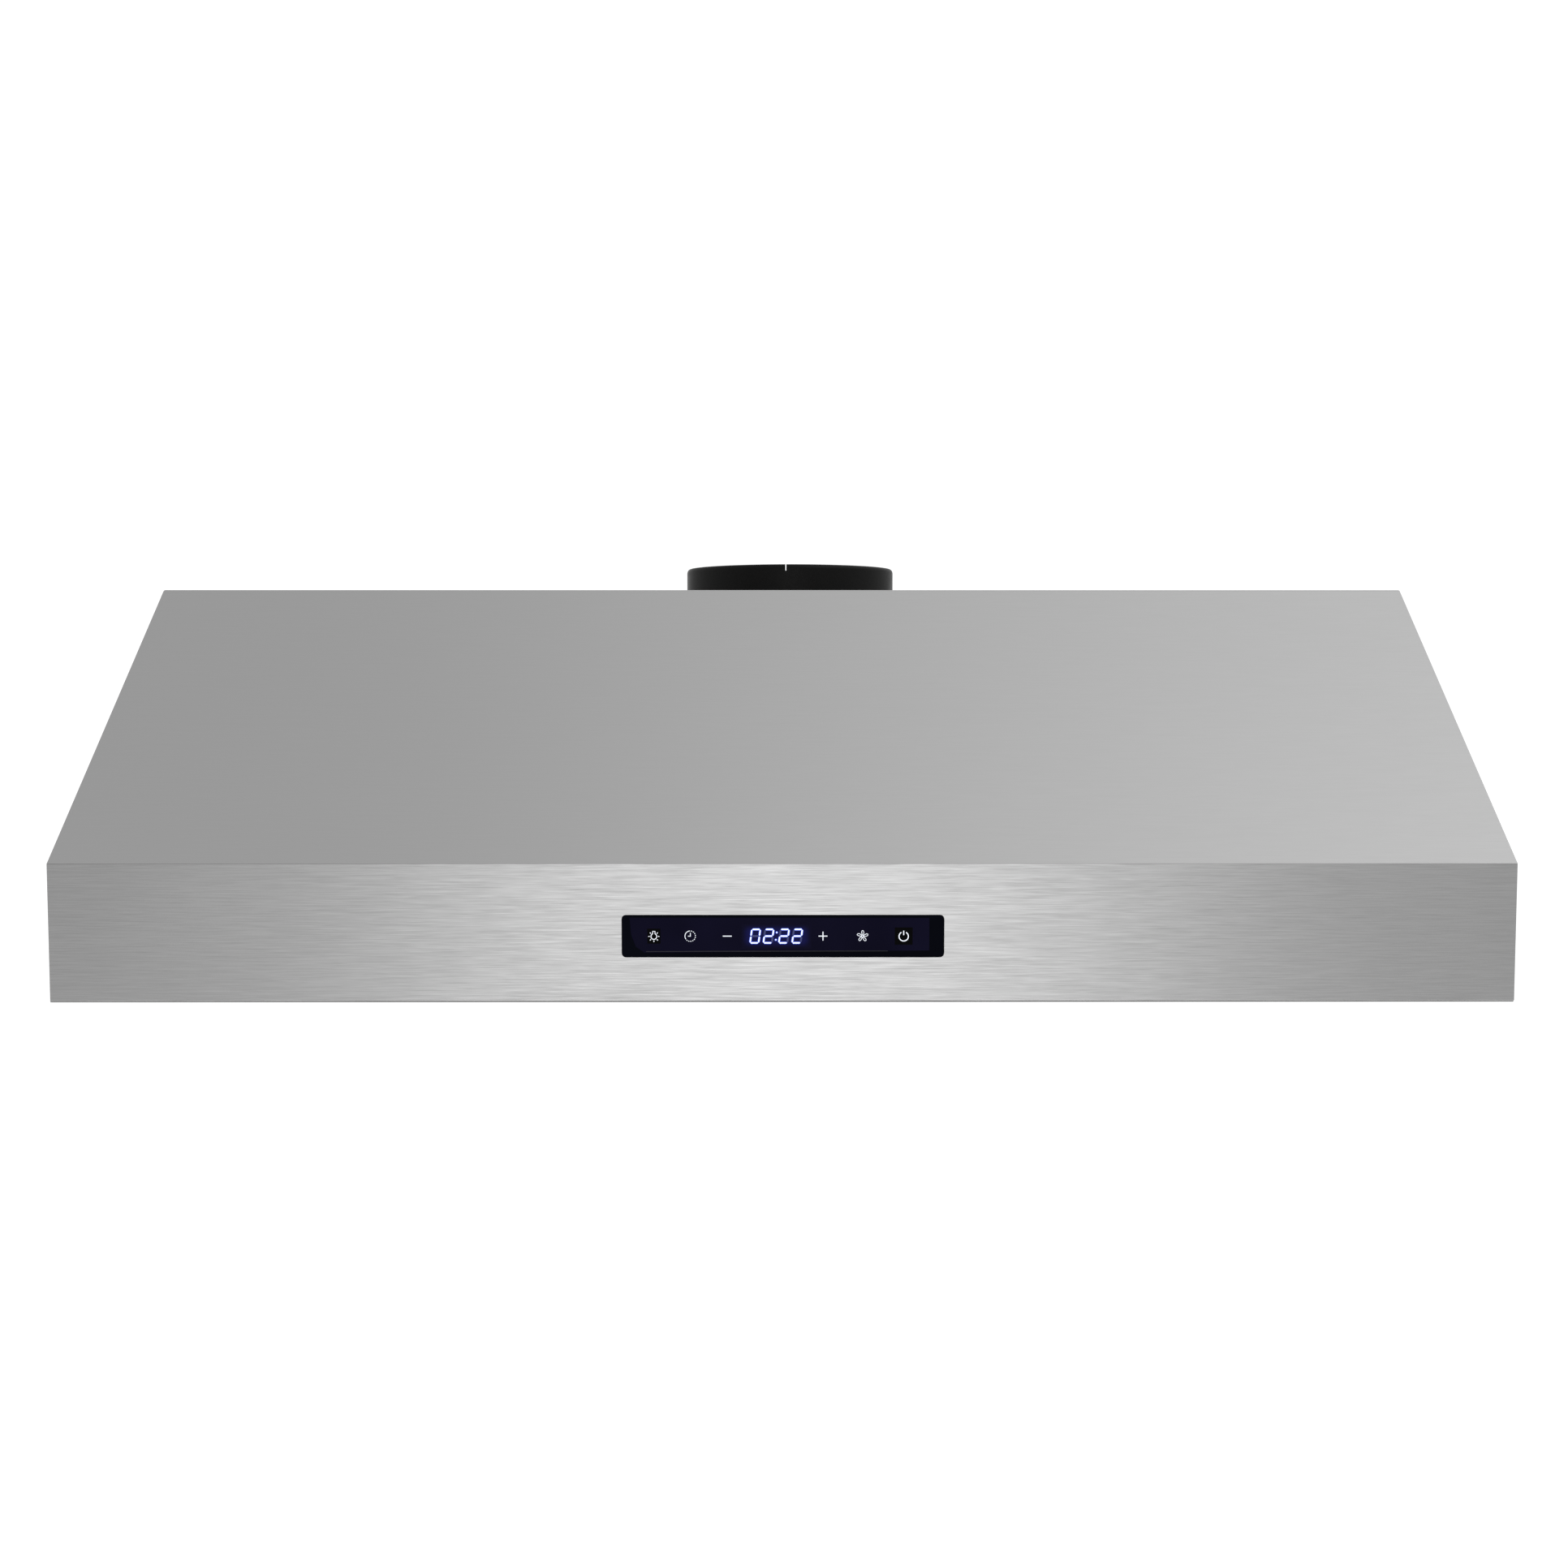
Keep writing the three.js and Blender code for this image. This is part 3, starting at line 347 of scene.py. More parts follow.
RUBBER = moulded("rubber", (0.016, 0.016, 0.016), 0.7, 3e-5)
BOARD = circuit_board()
COPPER = winding()
LAMINATION = laminated("lamination", (0.22, 0.22, 0.23), 0)
LENS = frosted()
GLASS = glass()
FILM = film()
# The film round the digits, with a painted glow of the display's light.
PAINTED_GLOW_FILM = painted_glow_film()
PRINT = lit("panel_print", (0.86, 0.9, 0.97), 0.95)
PRINT_DARK = moulded("print_black", (0.0022, 0.0022, 0.0026), 0.3, 1e-6, 0.02)
FILM_EDGE = lit("film_edge", (0.004, 0.004, 0.009), 0.4)
DIGIT_CORE = lit("digit_core", (0.8, 0.9, 1.0), 1.25)
# The blue band of a lit segment: partly the segment's own light, partly a painted glow past its edges.
DIGIT_BLUE_GLOW = lit("digit_blue_glow", (0.03, 0.08, 0.8), 0.85)
DIGIT_DARK = lit("digit_unlit", (0.03, 0.04, 0.17), 0.7)

SURFACES = {
    STEEL_SLOPE: ["canopy_top"],
    STEEL_FRONT: ["front_fascia"],
    STEEL_SIDE: ["side_panel_left", "side_panel_right"],
    STEEL_WIDE: ["back_panel", "underside_panel"],
    STEEL_BAFFLE: ["filter_frame_*", "filter_lower_baffles_*", "filter_upper_baffles_*", "filter_catch_*"],
    STEEL_WIRE: ["filter_handle_*"],
    STEEL_RING: ["lamp_bezel_*"],
    ZINC: [
        "filter_rear_rail", "damper_pin", "duct_screw_*", "motor_mount", "motor_case", "motor_end_cap",
        "impeller_nut", "capacitor_strap",
    ],
    BEARING: ["motor_bearing_*", "motor_shaft"],
    CAST: ["lamp_module_*"],
    BLACK: ["duct_collar", "damper_flap_*", "control_housing"],
    HOUSING: ["blower_housing_*"],
    GREY: [
        "impeller_plate", "impeller_blades_*", "display_module", "electronics_box", "electronics_lid",
        "motor_capacitor",
    ],
    RUBBER: ["cable_bushing", "*_lead", "lamp_lead_*"],
    BOARD: ["control_board", "power_board"],
    COPPER: ["transformer"],
    LAMINATION: ["motor_stator", "motor_rotor"],
    LENS: ["lamp_lens_*"],
    GLASS: ["control_glass"],
}


def matching(pattern):
    """The CAD nodes whose names match a pattern with at most one *."""
    head, star, tail = pattern.partition("*")
    if not star:
        return [pattern]
    return [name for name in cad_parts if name.startswith(head) and name.endswith(tail)]


def paint_nodes():
    for surface, patterns in SURFACES.items():
        for pattern in patterns:
            for name in matching(pattern):
                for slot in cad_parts[name].material_slots:
                    slot.material = surface


paint_nodes()


# ---- Rounded edges on the CAD nodes ----

# Distances in metres: points closer than WELD become one. Angles in degrees: flatter edges than FLAT go,
# sharper ones than CORNER are rounded, and up to SMOOTH they are shaded smooth.
WELD = 2e-6
FLAT = 0.5
CORNER = 32
SMOOTH = 50


def smooth_shading(limit):
    """A modifier's node group: faces are shaded smooth, and edges over a limit in degrees stay sharp."""
    group = bpy.data.node_groups.new("smooth_shading", "GeometryNodeTree")
    for side in ("INPUT", "OUTPUT"):
        group.interface.new_socket("Geometry", in_out=side, socket_type="NodeSocketGeometry")
    kinds = ("NodeGroupInput", "GeometryNodeSetShadeSmooth", "GeometryNodeSetShadeSmooth", "NodeGroupOutput")
    chain = [group.nodes.new(kind) for kind in kinds]
    for before, after in zip(chain, chain[1:]):
        group.links.new(before.outputs[0], after.inputs[0])
    angle = group.nodes.new("GeometryNodeInputMeshEdgeAngle")
    gentle = group.nodes.new("ShaderNodeMath")
    gentle.operation = "LESS_THAN"
    gentle.inputs[1].default_value = math.radians(limit)
    group.links.new(angle.outputs["Unsigned Angle"], gentle.inputs[0])
    chain[2].domain = "EDGE"
    group.links.new(gentle.outputs[0], chain[2].inputs["Shade Smooth"])
    return group


SMOOTH_SHADING = smooth_shading(SMOOTH)


def shade_smoothly(piece):
    """Smooth shading, with the normals at rounded edges turned to those of the larger faces."""
    shaded = piece.modifiers.new("shade_smooth", "NODES")
    shaded.node_group = SMOOTH_SHADING
    normals = piece.modifiers.new("normals", "WEIGHTED_NORMAL")
    normals.weight = 100
    normals.thresh = 0.0
    normals.keep_sharp = True


def weld(piece, name="weld"):
    piece.modifiers.new(name, "WELD").merge_threshold = WELD


def round_edges(piece, width):
    """Rounds the corners by a width in millimetres."""
    bevel = piece.modifiers.new("round", "BEVEL")
    bevel.width = width * MM
    bevel.segments = 2
    bevel.limit_method = "ANGLE"
    bevel.angle_limit = math.radians(CORNER)
    weld(piece, "clean")
    shade_smoothly(piece)


SOFTENED = {
    0.15: ["display_module", "impeller_blades_*", "impeller_plate", "filter_catch_*", "capacitor_strap"],
    0.25: [
        "side_panel_*", "back_panel", "filter_rear_rail", "filter_frame_*", "damper_pin", "control_board",
        "power_board", "motor_bearing_*", "impeller_nut", "motor_shaft", "cable_bushing",
    ],
    0.4: ["damper_flap_*", "duct_screw_*", "motor_mount", "motor_stator", "motor_rotor", "control_housing"],
    0.6: ["blower_housing_*", "motor_case", "motor_end_cap", "electronics_lid"],
    1.0: ["electronics_box", "transformer", "motor_capacitor"],
}

# Their ring shaped faces can't be one polygon, so they keep their triangles.
RINGED = ["impeller_blades_left", "impeller_blades_right", "electronics_box", "electronics_lid"]


def soften(name, width):
    """Rounds a CAD node's edges by modifiers, which leave its own mesh as it is."""
    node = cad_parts[name]
    weld(node)
    if name not in RINGED:
        flat = node.modifiers.new("flat", "DECIMATE")
        flat.decimate_type = "DISSOLVE"
        flat.angle_limit = math.radians(FLAT)
    round_edges(node, width)


def soften_nodes():
    for width, patterns in SOFTENED.items():
        for pattern in patterns:
            for name in matching(pattern):
                soften(name, width)


soften_nodes()


# ---- Pieces ----

def add_piece(name, mesh_maker, material, body, replaced=(), smooth=30):
    """Makes a piece from a bmesh, with edges sharper than smooth degrees kept sharp."""
    mesh = bpy.data.meshes.new(name)
    bmesh.ops.recalc_face_normals(mesh_maker, faces=mesh_maker.faces)
    mesh_maker.to_mesh(mesh)
    mesh_maker.free()
    for face in mesh.polygons:
        face.use_smooth = True
    mesh.set_sharp_from_angle(angle=math.radians(smooth))
    mesh.materials.append(material)
    piece = bpy.data.objects.new(name, mesh)
    bpy.context.scene.collection.objects.link(piece)
    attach(piece, body)
    if replaced:
        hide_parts(*replaced)
    return piece


def add_plate(mesh, outline, y0, y1):
    """Adds a closed plate of [x, z] points between two heights along Y, all in millimetres."""
    area = sum(a[0] * b[1] - b[0] * a[1] for a, b in zip(outline, outline[1:] + outline[:1]))
    points = outline if area > 0 else outline[::-1]
    near = [mesh.verts.new(metres(x, y0, z)) for x, z in points]
    far = [mesh.verts.new(metres(x, y1, z)) for x, z in points]
    mesh.faces.new(near)
    mesh.faces.new(far[::-1])
    count = len(points)
    for i in range(count):
        j = (i + 1) % count
        mesh.faces.new((near[i], far[i], far[j], near[j]))


def ellipse(x, z, rx, rz, start, end, steps):
    """Points on an elliptical arc, with angles in degrees."""
    angles = [math.radians(start + (end - start) * i / steps) for i in range(steps + 1)]
    return [(x + rx * math.cos(a), z + rz * math.sin(a)) for a in angles]


def arc(x, z, radius, start, end, steps):
    """Points on a round arc, with angles in degrees."""
    return ellipse(x, z, radius, radius, start, end, steps)


def stroke(line, width):
    """The outline of a line of points drawn with a pen of some width."""
    points = [Vector(p) for p in line]
    left, right = [], []
    for i, point in enumerate(points):
        before = points[max(i - 1, 0)]
        after = points[min(i + 1, len(points) - 1)]
        along = (after - before).normalized()
        across = Vector((-along.y, along.x)) * width / 2
        left.append(tuple(point + across))
        right.append(tuple(point - across))
    return left + right[::-1]


def add_turned(mesh, profile, sides, centre=(0, 0, 0)):
    """Adds a closed profile of [radius, height] points turned about Z, in millimetres."""
    x, y, z = centre
    turns = [2 * math.pi * i / sides for i in range(sides)]
    rings = []
    for radius, height in profile:
        if radius == 0:
            rings.append([mesh.verts.new(metres(x, y, z + height))])
            continue
        rings.append([
            mesh.verts.new(metres(x + radius * math.cos(a), y + radius * math.sin(a), z + height))
            for a in turns
        ])
    for one, two in zip(rings, rings[1:] + rings[:1]):
        if len(one) == 1 and len(two) == 1:
            continue
        for i in range(sides):
            j = (i + 1) % sides
            if len(one) == 1:
                mesh.faces.new((one[0], two[i], two[j]))
            elif len(two) == 1:
                mesh.faces.new((one[i], two[0], one[j]))
            else:
                mesh.faces.new((one[i], two[i], two[j], one[j]))


def add_box(mesh, low, high):
    """Adds a box between two corners in millimetres."""
    made = bmesh.ops.create_cube(mesh, size=1)["verts"]
    size = [b - a for a, b in zip(low, high)]
    middle = [(a + b) / 2 for a, b in zip(low, high)]
    matrix = Matrix.Translation(metres(*middle)) @ Matrix.Diagonal([*metres(*size), 1])
    bmesh.ops.transform(mesh, matrix=matrix, verts=made)


# ---- Bent sheets ----

# In millimetres: the sheet's thickness, the edges where the slope, the upright front and the pan bend, and
# how far cut edges are rounded. Bends stay smooth up to BEND_SHARP degrees.
SHEET = 1.2
SLOPE_RUN = 185
SLOPE_RISE = 148
FASCIA_TOP = -148.4
FASCIA_LOW = -220
SEAM_RISE = 0.34
PAN_HALF = 240
PAN_TOP = -206
BEND_SEGMENTS = 6
BEND_SHARP = 60
CUT_EDGE = 0.2

# In metres: points this close are one, and an edge this close to a bend's line lies on it.
SAME_POINT = 1e-6
ON_LINE = 2e-5


def lies_on(edge, y, z):
    """Whether both ends of an edge lie on a line along X, given in millimetres."""
    return all(abs(v.co.y - y * MM) < ON_LINE and abs(v.co.z - z * MM) < ON_LINE for v in edge.verts)


def add_bent_sheet(node, name, material, bends, raised=None):
    """A finer copy of a sheet steel node, with rounded bends along X, each given as (y, z, setback).

    A raised (z, rise) moves one flat part of it up first, which narrows a seam.
    """
    mesh = bmesh.new()
    mesh.from_mesh(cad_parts[node].data)
    bmesh.ops.remove_doubles(mesh, verts=mesh.verts, dist=SAME_POINT)
    bmesh.ops.dissolve_limit(mesh, angle_limit=math.radians(FLAT), verts=mesh.verts, edges=mesh.edges)
    if raised:
        level, rise = raised
        for vert in mesh.verts:
            if abs(vert.co.z - level * MM) < ON_LINE:
                vert.co.z += rise * MM
    for y, z, setback in bends:
        lines = [edge for edge in mesh.edges if lies_on(edge, y, z)]
        bmesh.ops.bevel(
            mesh, geom=lines, offset=setback * MM, segments=BEND_SEGMENTS, profile=0.5,
            affect="EDGES", clamp_overlap=False,
        )
    bmesh.ops.dissolve_degenerate(mesh, dist=WELD, edges=mesh.edges)
    piece = add_piece(name, mesh, material, ROOT, [node], BEND_SHARP)
    round_edges(piece, CUT_EDGE)


def add_sheets():
    slope = math.atan2(SLOPE_RISE, SLOPE_RUN)
    top_edge = FRONT + SLOPE_RUN
    inner_edge = top_edge - SHEET / math.tan(slope) + SHEET / math.sin(slope)
    add_bent_sheet(
        "canopy_top", "canopy_skin", STEEL_SLOPE,
        [(top_edge, 0, 1.3), (inner_edge, -SHEET, 0.9)],
    )
    add_bent_sheet(
        "front_fascia", "fascia_skin", STEEL_FRONT,
        [
            (FRONT, FASCIA_LOW, 1.1), (FRONT + SHEET, FASCIA_LOW + SHEET, 0.6),
            (FRONT + SHEET, FASCIA_TOP - SHEET, 0.3),
        ],
        raised=(FASCIA_TOP, SEAM_RISE),
    )
    add_bent_sheet(
        "underside_panel", "underside_skin", STEEL_WIDE,
        [
            (end * (PAN_HALF - inset), PAN_TOP - inset, setback)
            for inset, setback in ((0, 2.2), (SHEET, 1.0)) for end in (-1, 1)
        ],
    )


add_sheets()


# ---- Duct collar ----

COLLAR = {
    "radius": 75.0, "wall": 3.5, "rise": 24.0, "flange": 88.0, "low": -3.7, "sheet": -1.2,
    "edge": 0.5, "sides": 144,
}
RIM = {"run": 2.2, "rise": 3.2}
SEAT = {"inner": 68.0, "top": 9.6, "fillet": 0.4, "nose": 0.6, "drop": 1.9}
BAR = {"half": 3.0, "top": 6.5, "end": 1.0, "edge": 0.5}
BOSS = {"half": 3.6, "inner_end": 9.0, "outer_end": 1.0, "over_pin": 3.4, "sunk": 1.0, "edge": 0.7}
SLIT = {"left": -3.6, "right": -2.95, "depth": 4.5, "edge": 0.2}
COLLAR_SCREWS = {"circle": 82.0, "radius": 2.4, "turns": (45, 135, 225, 315)}
PIN_BORE = {"radius": 1.7, "end": 1.5}
HOLE_SIDES = 24
CUT_PAST = 1.0


def plain_object(name, mesh_maker):
    """A scratch object from a bmesh, for cutting and joining."""
    bmesh.ops.recalc_face_normals(mesh_maker, faces=mesh_maker.faces)
    data = bpy.data.meshes.new(name)
    mesh_maker.to_mesh(data)
    mesh_maker.free()
    made = bpy.data.objects.new(name, data)
    bpy.context.scene.collection.objects.link(made)
    return made


def combined(base, others, operation):
    """The bmesh of base joined with, or cut by, the other scratch objects, which are then removed."""
    for other in others:
        step = base.modifiers.new(other.name, "BOOLEAN")
        step.operation = operation
        step.solver = "EXACT"
        step.object = other
    graph = bpy.context.evaluated_depsgraph_get()
    mesh = bmesh.new()
    mesh.from_mesh(bpy.data.meshes.new_from_object(base.evaluated_get(graph)))
    for scratch in [base, *others]:
        bpy.data.objects.remove(scratch)
    return mesh


def rounded_box(low, high, width):
    """A box between two corners, with its edges rounded by a width, all in millimetres."""
    mesh = bmesh.new()
    add_box(mesh, low, high)
    bmesh.ops.bevel(mesh, geom=mesh.edges[:], offset=width * MM, segments=3, profile=0.5, affect="EDGES")
    return mesh


def cylinder(radius, low, high):
    """The profile of a cylinder between two heights."""
    return [(0, low), (radius, low), (radius, high), (0, high)]


def collar_section():
    """The collar's profile: flange, outer wall, rounded rim, bore and the damper's seat."""
    radius, rise, low, sheet, edge = (COLLAR[key] for key in ("radius", "rise", "low", "sheet", "edge"))
    inner = radius - COLLAR["wall"]
    tip = COLLAR["flange"] - edge
    fillet, nose = SEAT["fillet"], SEAT["nose"]
    return [
        (SEAT["inner"], low),
        *arc(tip, low + edge, edge, -90, 0, 3),
        *arc(tip, sheet - edge, edge, 0, 90, 3),
        (radius, sheet),
        *ellipse(radius - RIM["run"], rise - RIM["rise"], RIM["run"], RIM["rise"], 0, 90, 8),
        *arc(inner + edge, rise - edge, edge, 90, 180, 3),
        (inner, SEAT["top"] + fillet),
        *arc(inner - fillet, SEAT["top"] + fillet, fillet, 0, -80, 3)[1:],
        *arc(SEAT["inner"] + nose, SEAT["top"] - SEAT["drop"], nose, 100, 180, 3),
    ]


def damper_supports():
    """The bar across the collar, and the boss at each end of it that holds the damper's pin."""
    radius = COLLAR["radius"]
    reach = radius - BAR["end"]
    bar = rounded_box((-BAR["half"], -reach, COLLAR["low"]), (BAR["half"], reach, BAR["top"]), BAR["edge"])
    parts = [plain_object("bar", bar)]
    for end in (-1, 1):
        y0, y1 = sorted((end * (radius - BOSS["inner_end"]), end * (radius - BOSS["outer_end"])))
        low = (-BOSS["half"], y0, BAR["top"] - BOSS["sunk"])
        high = (BOSS["half"], y1, PIN_Z + BOSS["over_pin"])
        parts.append(plain_object("boss", rounded_box(low, high, BOSS["edge"])))
    return parts


def collar_cutters():
    """The slit in the rim, the screw holes in the flange and the bore for the damper's pin."""
    radius, wall, rise, low = (COLLAR[key] for key in ("radius", "wall", "rise", "low"))
    slit = rounded_box(
        (SLIT["left"], -radius - CUT_PAST, rise - SLIT["depth"]),
        (SLIT["right"], CUT_PAST - radius + wall, rise + CUT_PAST),
        SLIT["edge"],
    )
    cutters = [plain_object("slit", slit)]
    for turn in COLLAR_SCREWS["turns"]:
        hole = bmesh.new()
        x, y = arc(0, 0, COLLAR_SCREWS["circle"], turn, turn, 1)[0]
        add_turned(hole, cylinder(COLLAR_SCREWS["radius"], low - CUT_PAST, 0), HOLE_SIDES, (x, y, 0))
        cutters.append(plain_object("hole", hole))
    reach = radius - PIN_BORE["end"]
    bore = bmesh.new()
    add_turned(bore, cylinder(PIN_BORE["radius"], -reach, reach), HOLE_SIDES)
    along_y = Matrix.Rotation(math.radians(-90), 3, "X")
    bmesh.ops.rotate(bore, cent=(0, 0, 0), matrix=along_y, verts=bore.verts)
    bmesh.ops.translate(bore, vec=metres(0, 0, PIN_Z), verts=bore.verts)
    cutters.append(plain_object("bore", bore))
    return cutters


def add_collar():
    ring = bmesh.new()
    add_turned(ring, collar_section(), COLLAR["sides"])
    body = plain_object("collar_ring", ring)
    whole = plain_object("whole", combined(body, damper_supports(), "UNION"))
    mesh = combined(whole, collar_cutters(), "DIFFERENCE")
    bmesh.ops.dissolve_degenerate(mesh, dist=WELD, edges=mesh.edges)
    bmesh.ops.translate(mesh, vec=metres(*DUCT, 0), verts=mesh.verts)
    add_piece("collar_moulding", mesh, BLACK, ROOT, ["duct_collar"])


add_collar()


# ---- Filters ----

BAFFLE = {
    "pitch": 35.0, "chord": 25.0, "sagitta": 4.0, "sheet": 1.0, "front": -159.0, "rear": 160.0,
    "gap": 0.02, "curve_steps": 14, "edge_steps": 6,
}
TIE = {"half_depth": 4.0, "half_width": 154.0, "edge": 0.3}
BAFFLE_ROWS = {"lower": (8, 1.3, 1), "upper": (9, 15.7, -1)}


def trough_outline(x, bed, facing):
    """The section of one curved baffle, with its edges rounded."""
    chord, sagitta, sheet = BAFFLE["chord"], BAFFLE["sagitta"], BAFFLE["sheet"]
    radius = chord * chord / (8 * sagitta) + sagitta / 2
    sweep = math.degrees(math.asin(chord / 2 / radius))
    near, far = 270 - sweep, 270 + sweep
    middle = radius - sheet / 2

    def edge(end, start):
        """The round edge where the sheet ends at an angle, turned from a start by half a turn."""
        angle = math.radians(end)
        across, up = middle * math.cos(angle), radius + middle * math.sin(angle)
        return arc(across, up, sheet / 2, start, start + 180, BAFFLE["edge_steps"])[1:-1]

    outer = arc(0, radius, radius, near, far, BAFFLE["curve_steps"])
    inner = arc(0, radius, radius - sheet, far, near, BAFFLE["curve_steps"])
    outline = outer + edge(far, far) + inner + edge(near, near - 180)
    return [(x + a, bed + facing * b) for a, b in outline]


def merge(mesh, other):
    """Adds all of another bmesh, and frees it."""
    data = bpy.data.meshes.new("scratch")
    other.to_mesh(data)
    other.free()
    mesh.from_mesh(data)
    bpy.data.meshes.remove(data)


def add_baffles(side, row, count, bed, facing):
    """One row of a filter's baffles, with the flat strips that tie their ends."""
    mesh = bmesh.new()
    x0 = FILTERS[side]
    front = FILTER_Y + BAFFLE["front"]
    rear = FILTER_Y + BAFFLE["rear"]
    tie, reach, gap = TIE["half_depth"], TIE["half_width"], BAFFLE["gap"]
    for i in range(count):
        x = x0 + (i - (count - 1) / 2) * BAFFLE["pitch"]
        add_plate(mesh, trough_outline(x, FILTER_Z + bed, facing), front + tie + gap, rear - tie - gap)
    z0, z1 = sorted((FILTER_Z + bed, FILTER_Z + bed + facing * BAFFLE["sheet"]))
    for y in (front, rear):
        merge(mesh, rounded_box((x0 - reach, y - tie, z0), (x0 + reach, y + tie, z1), TIE["edge"]))
    add_piece(
        f"baffles_{row}_{side}", mesh, STEEL_BAFFLE, f"filter_{side}",
        [f"filter_{row}_baffles_{side}"],
    )


for side in FILTERS:
    for row, shape in BAFFLE_ROWS.items():
        add_baffles(side, row, *shape)


def add_tube(mesh, path, radius, sides=16):
    """Adds a round tube along a line of points in millimetres, with flat ends."""
    points = [Vector(p) for p in path]
    count = len(points)
    along = [(points[min(i + 1, count - 1)] - points[max(i - 1, 0)]).normalized() for i in range(count)]
    across = along[0].orthogonal().normalized()
    rings = []
    for point, direction in zip(points, along):
        across = (across - direction * across.dot(direction)).normalized()
        up = direction.cross(across)
        turns = [2 * math.pi * i / sides for i in range(sides)]
        rings.append([
            mesh.verts.new((point + (across * math.cos(a) + up * math.sin(a)) * radius) * MM) for a in turns
        ])
    mesh.faces.new(rings[0][::-1])
    mesh.faces.new(rings[-1])
    for one, two in zip(rings, rings[1:]):
        for i in range(sides):
            j = (i + 1) % sides
            mesh.faces.new((one[i], one[j], two[j], two[i]))


BAIL = {
    "y": -157.0, "z": -3.0, "drop": 20.0, "leg": 25.0, "end": 33.2, "elbow": 2.6, "bend": 5.0, "wire": 1.8,
}
# How far the wire runs straight beside its bends before its next point, in its end, leg and grip.
BAIL_STRAIGHT = {"end": 1.0, "leg": 3.0, "grip": 4.0}


def add_bail(side):
    """A filter's wire handle: out at each end, round the elbows, down the legs and across the grip."""
    leg, elbow, bend, drop = (BAIL[key] for key in ("leg", "elbow", "bend", "drop"))
    half = [
        (BAIL["end"], 0),
        (leg + elbow + BAIL_STRAIGHT["end"], 0),
        *arc(leg + elbow, -elbow, elbow, 90, 180, 8),
        (leg, -elbow - BAIL_STRAIGHT["leg"]),
        (leg, bend - drop + BAIL_STRAIGHT["leg"]),
        *arc(leg - bend, bend - drop, bend, 0, -90, 10),
        (leg - bend - BAIL_STRAIGHT["grip"], -drop),
    ]
    line = half + [(-a, b) for a, b in half[::-1]]
    x, y, z = FILTERS[side], FILTER_Y + BAIL["y"], FILTER_Z + BAIL["z"]
    mesh = bmesh.new()
    add_tube(mesh, [(x + a, y, z + b) for a, b in line], BAIL["wire"])
    add_piece(
        f"wire_handle_{side}", mesh, STEEL_WIRE, f"filter_handle_{side}",
        [f"filter_handle_{side}"], 40,
    )


for side in FILTERS:
    add_bail(side)


# ---- Lamps ----

BEZEL_SECTION = [
    (27.5, 3), (27.5, -1.4), *arc(28.3, -1.7, 0.8, 180, 270, 4), *arc(32.0, -1.4, 1.1, -90, -38, 4),
    (34.0, -0.3), (29.5, -0.3), (29.5, 3),
]
LENS_DISC = {"radius": 27.2, "top": 0.5, "side": -1.0, "face": (26.7, -1.42)}
LENS_RIDGES = {"count": 12, "pitch": 2.0, "width": 0.6, "valley": -1.32, "crest": -1.5}
COOLER = {"core": 22, "foot": 27, "outer": 28, "low": 0.9, "top": 21, "edge": 0.4}
FINS = {"levels": (4, 7.4, 10.8, 14.2, 17.6), "low": 0.2, "high": 1.6, "next": 3.6}


def lens_section():
    """The lens's profile: a disc with ring shaped ridges under it."""
    radius, top = LENS_DISC["radius"], LENS_DISC["top"]
    valley, crest = LENS_RIDGES["valley"], LENS_RIDGES["crest"]
    ridges = []
    for i in range(LENS_RIDGES["count"]):
        ridge = LENS_RIDGES["pitch"] * (i + 1)
        ridges += [(ridge - LENS_RIDGES["width"], valley), (ridge, crest)]
    rim = [(0, top), (radius, top), (radius, LENS_DISC["side"]), LENS_DISC["face"]]
    return [*rim, *ridges[::-1], (0, valley)]


def cooler_section():
    """The heat sink's profile: a foot behind the lens, and fins round a core."""
    core, outer, top, edge = (COOLER[key] for key in ("core", "outer", "top", "edge"))
    low, foot = COOLER["low"], COOLER["foot"]
    fins = []
    for z in FINS["levels"]:
        fins += [(outer, z + FINS["low"]), (outer, z + FINS["high"])]
        fins += [(core, z + FINS["high"]), (core, z + FINS["next"])]
    front = [(0, low), (foot, low), (foot, fins[0][1])]
    back = [(outer, top - edge), (outer - edge, top), (0, top)]
    return [*front, *fins[1:-2], *back]


# Each piece of a lamp: name, profile, sides, material, slot, the node it replaces and its smooth angle.
LAMP_PIECES = (
    ("lamp_ring", BEZEL_SECTION, 96, STEEL_RING, "brushed_steel", "lamp_bezel", 30),
    ("lamp_front", lens_section(), 96, LENS, "lamp_lens", "lamp_lens", 60),
    ("lamp_cooler", cooler_section(), 72, CAST, "heat_sink", "lamp_module", 30),
)


def add_lamp(side):
    centre = (LAMPS[side], LAMP_Y, LAMP_Z)
    for name, profile, sides, material, slot, node, smooth in LAMP_PIECES:
        mesh = bmesh.new()
        add_turned(mesh, profile, sides, centre)
        add_piece(f"{name}_{side}", mesh, material, ROOT, [f"{node}_{side}"], smooth)


for side in LAMPS:
    add_lamp(side)


# ---- Leads ----

LEADS = ("control_lead", "motor_lead", "lamp_lead_*")
LEAD_SMOOTHING = 2


def smooth_leads():
    for pattern in LEADS:
        for name in matching(pattern):
            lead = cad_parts[name]
            weld(lead)
            smooth = lead.modifiers.new("smooth", "SUBSURF")
            smooth.levels = smooth.render_levels = LEAD_SMOOTHING
            shade_smoothly(lead)


smooth_leads()


# ---- Touch panel ----

GLASS_FACE = FRONT - 0.02

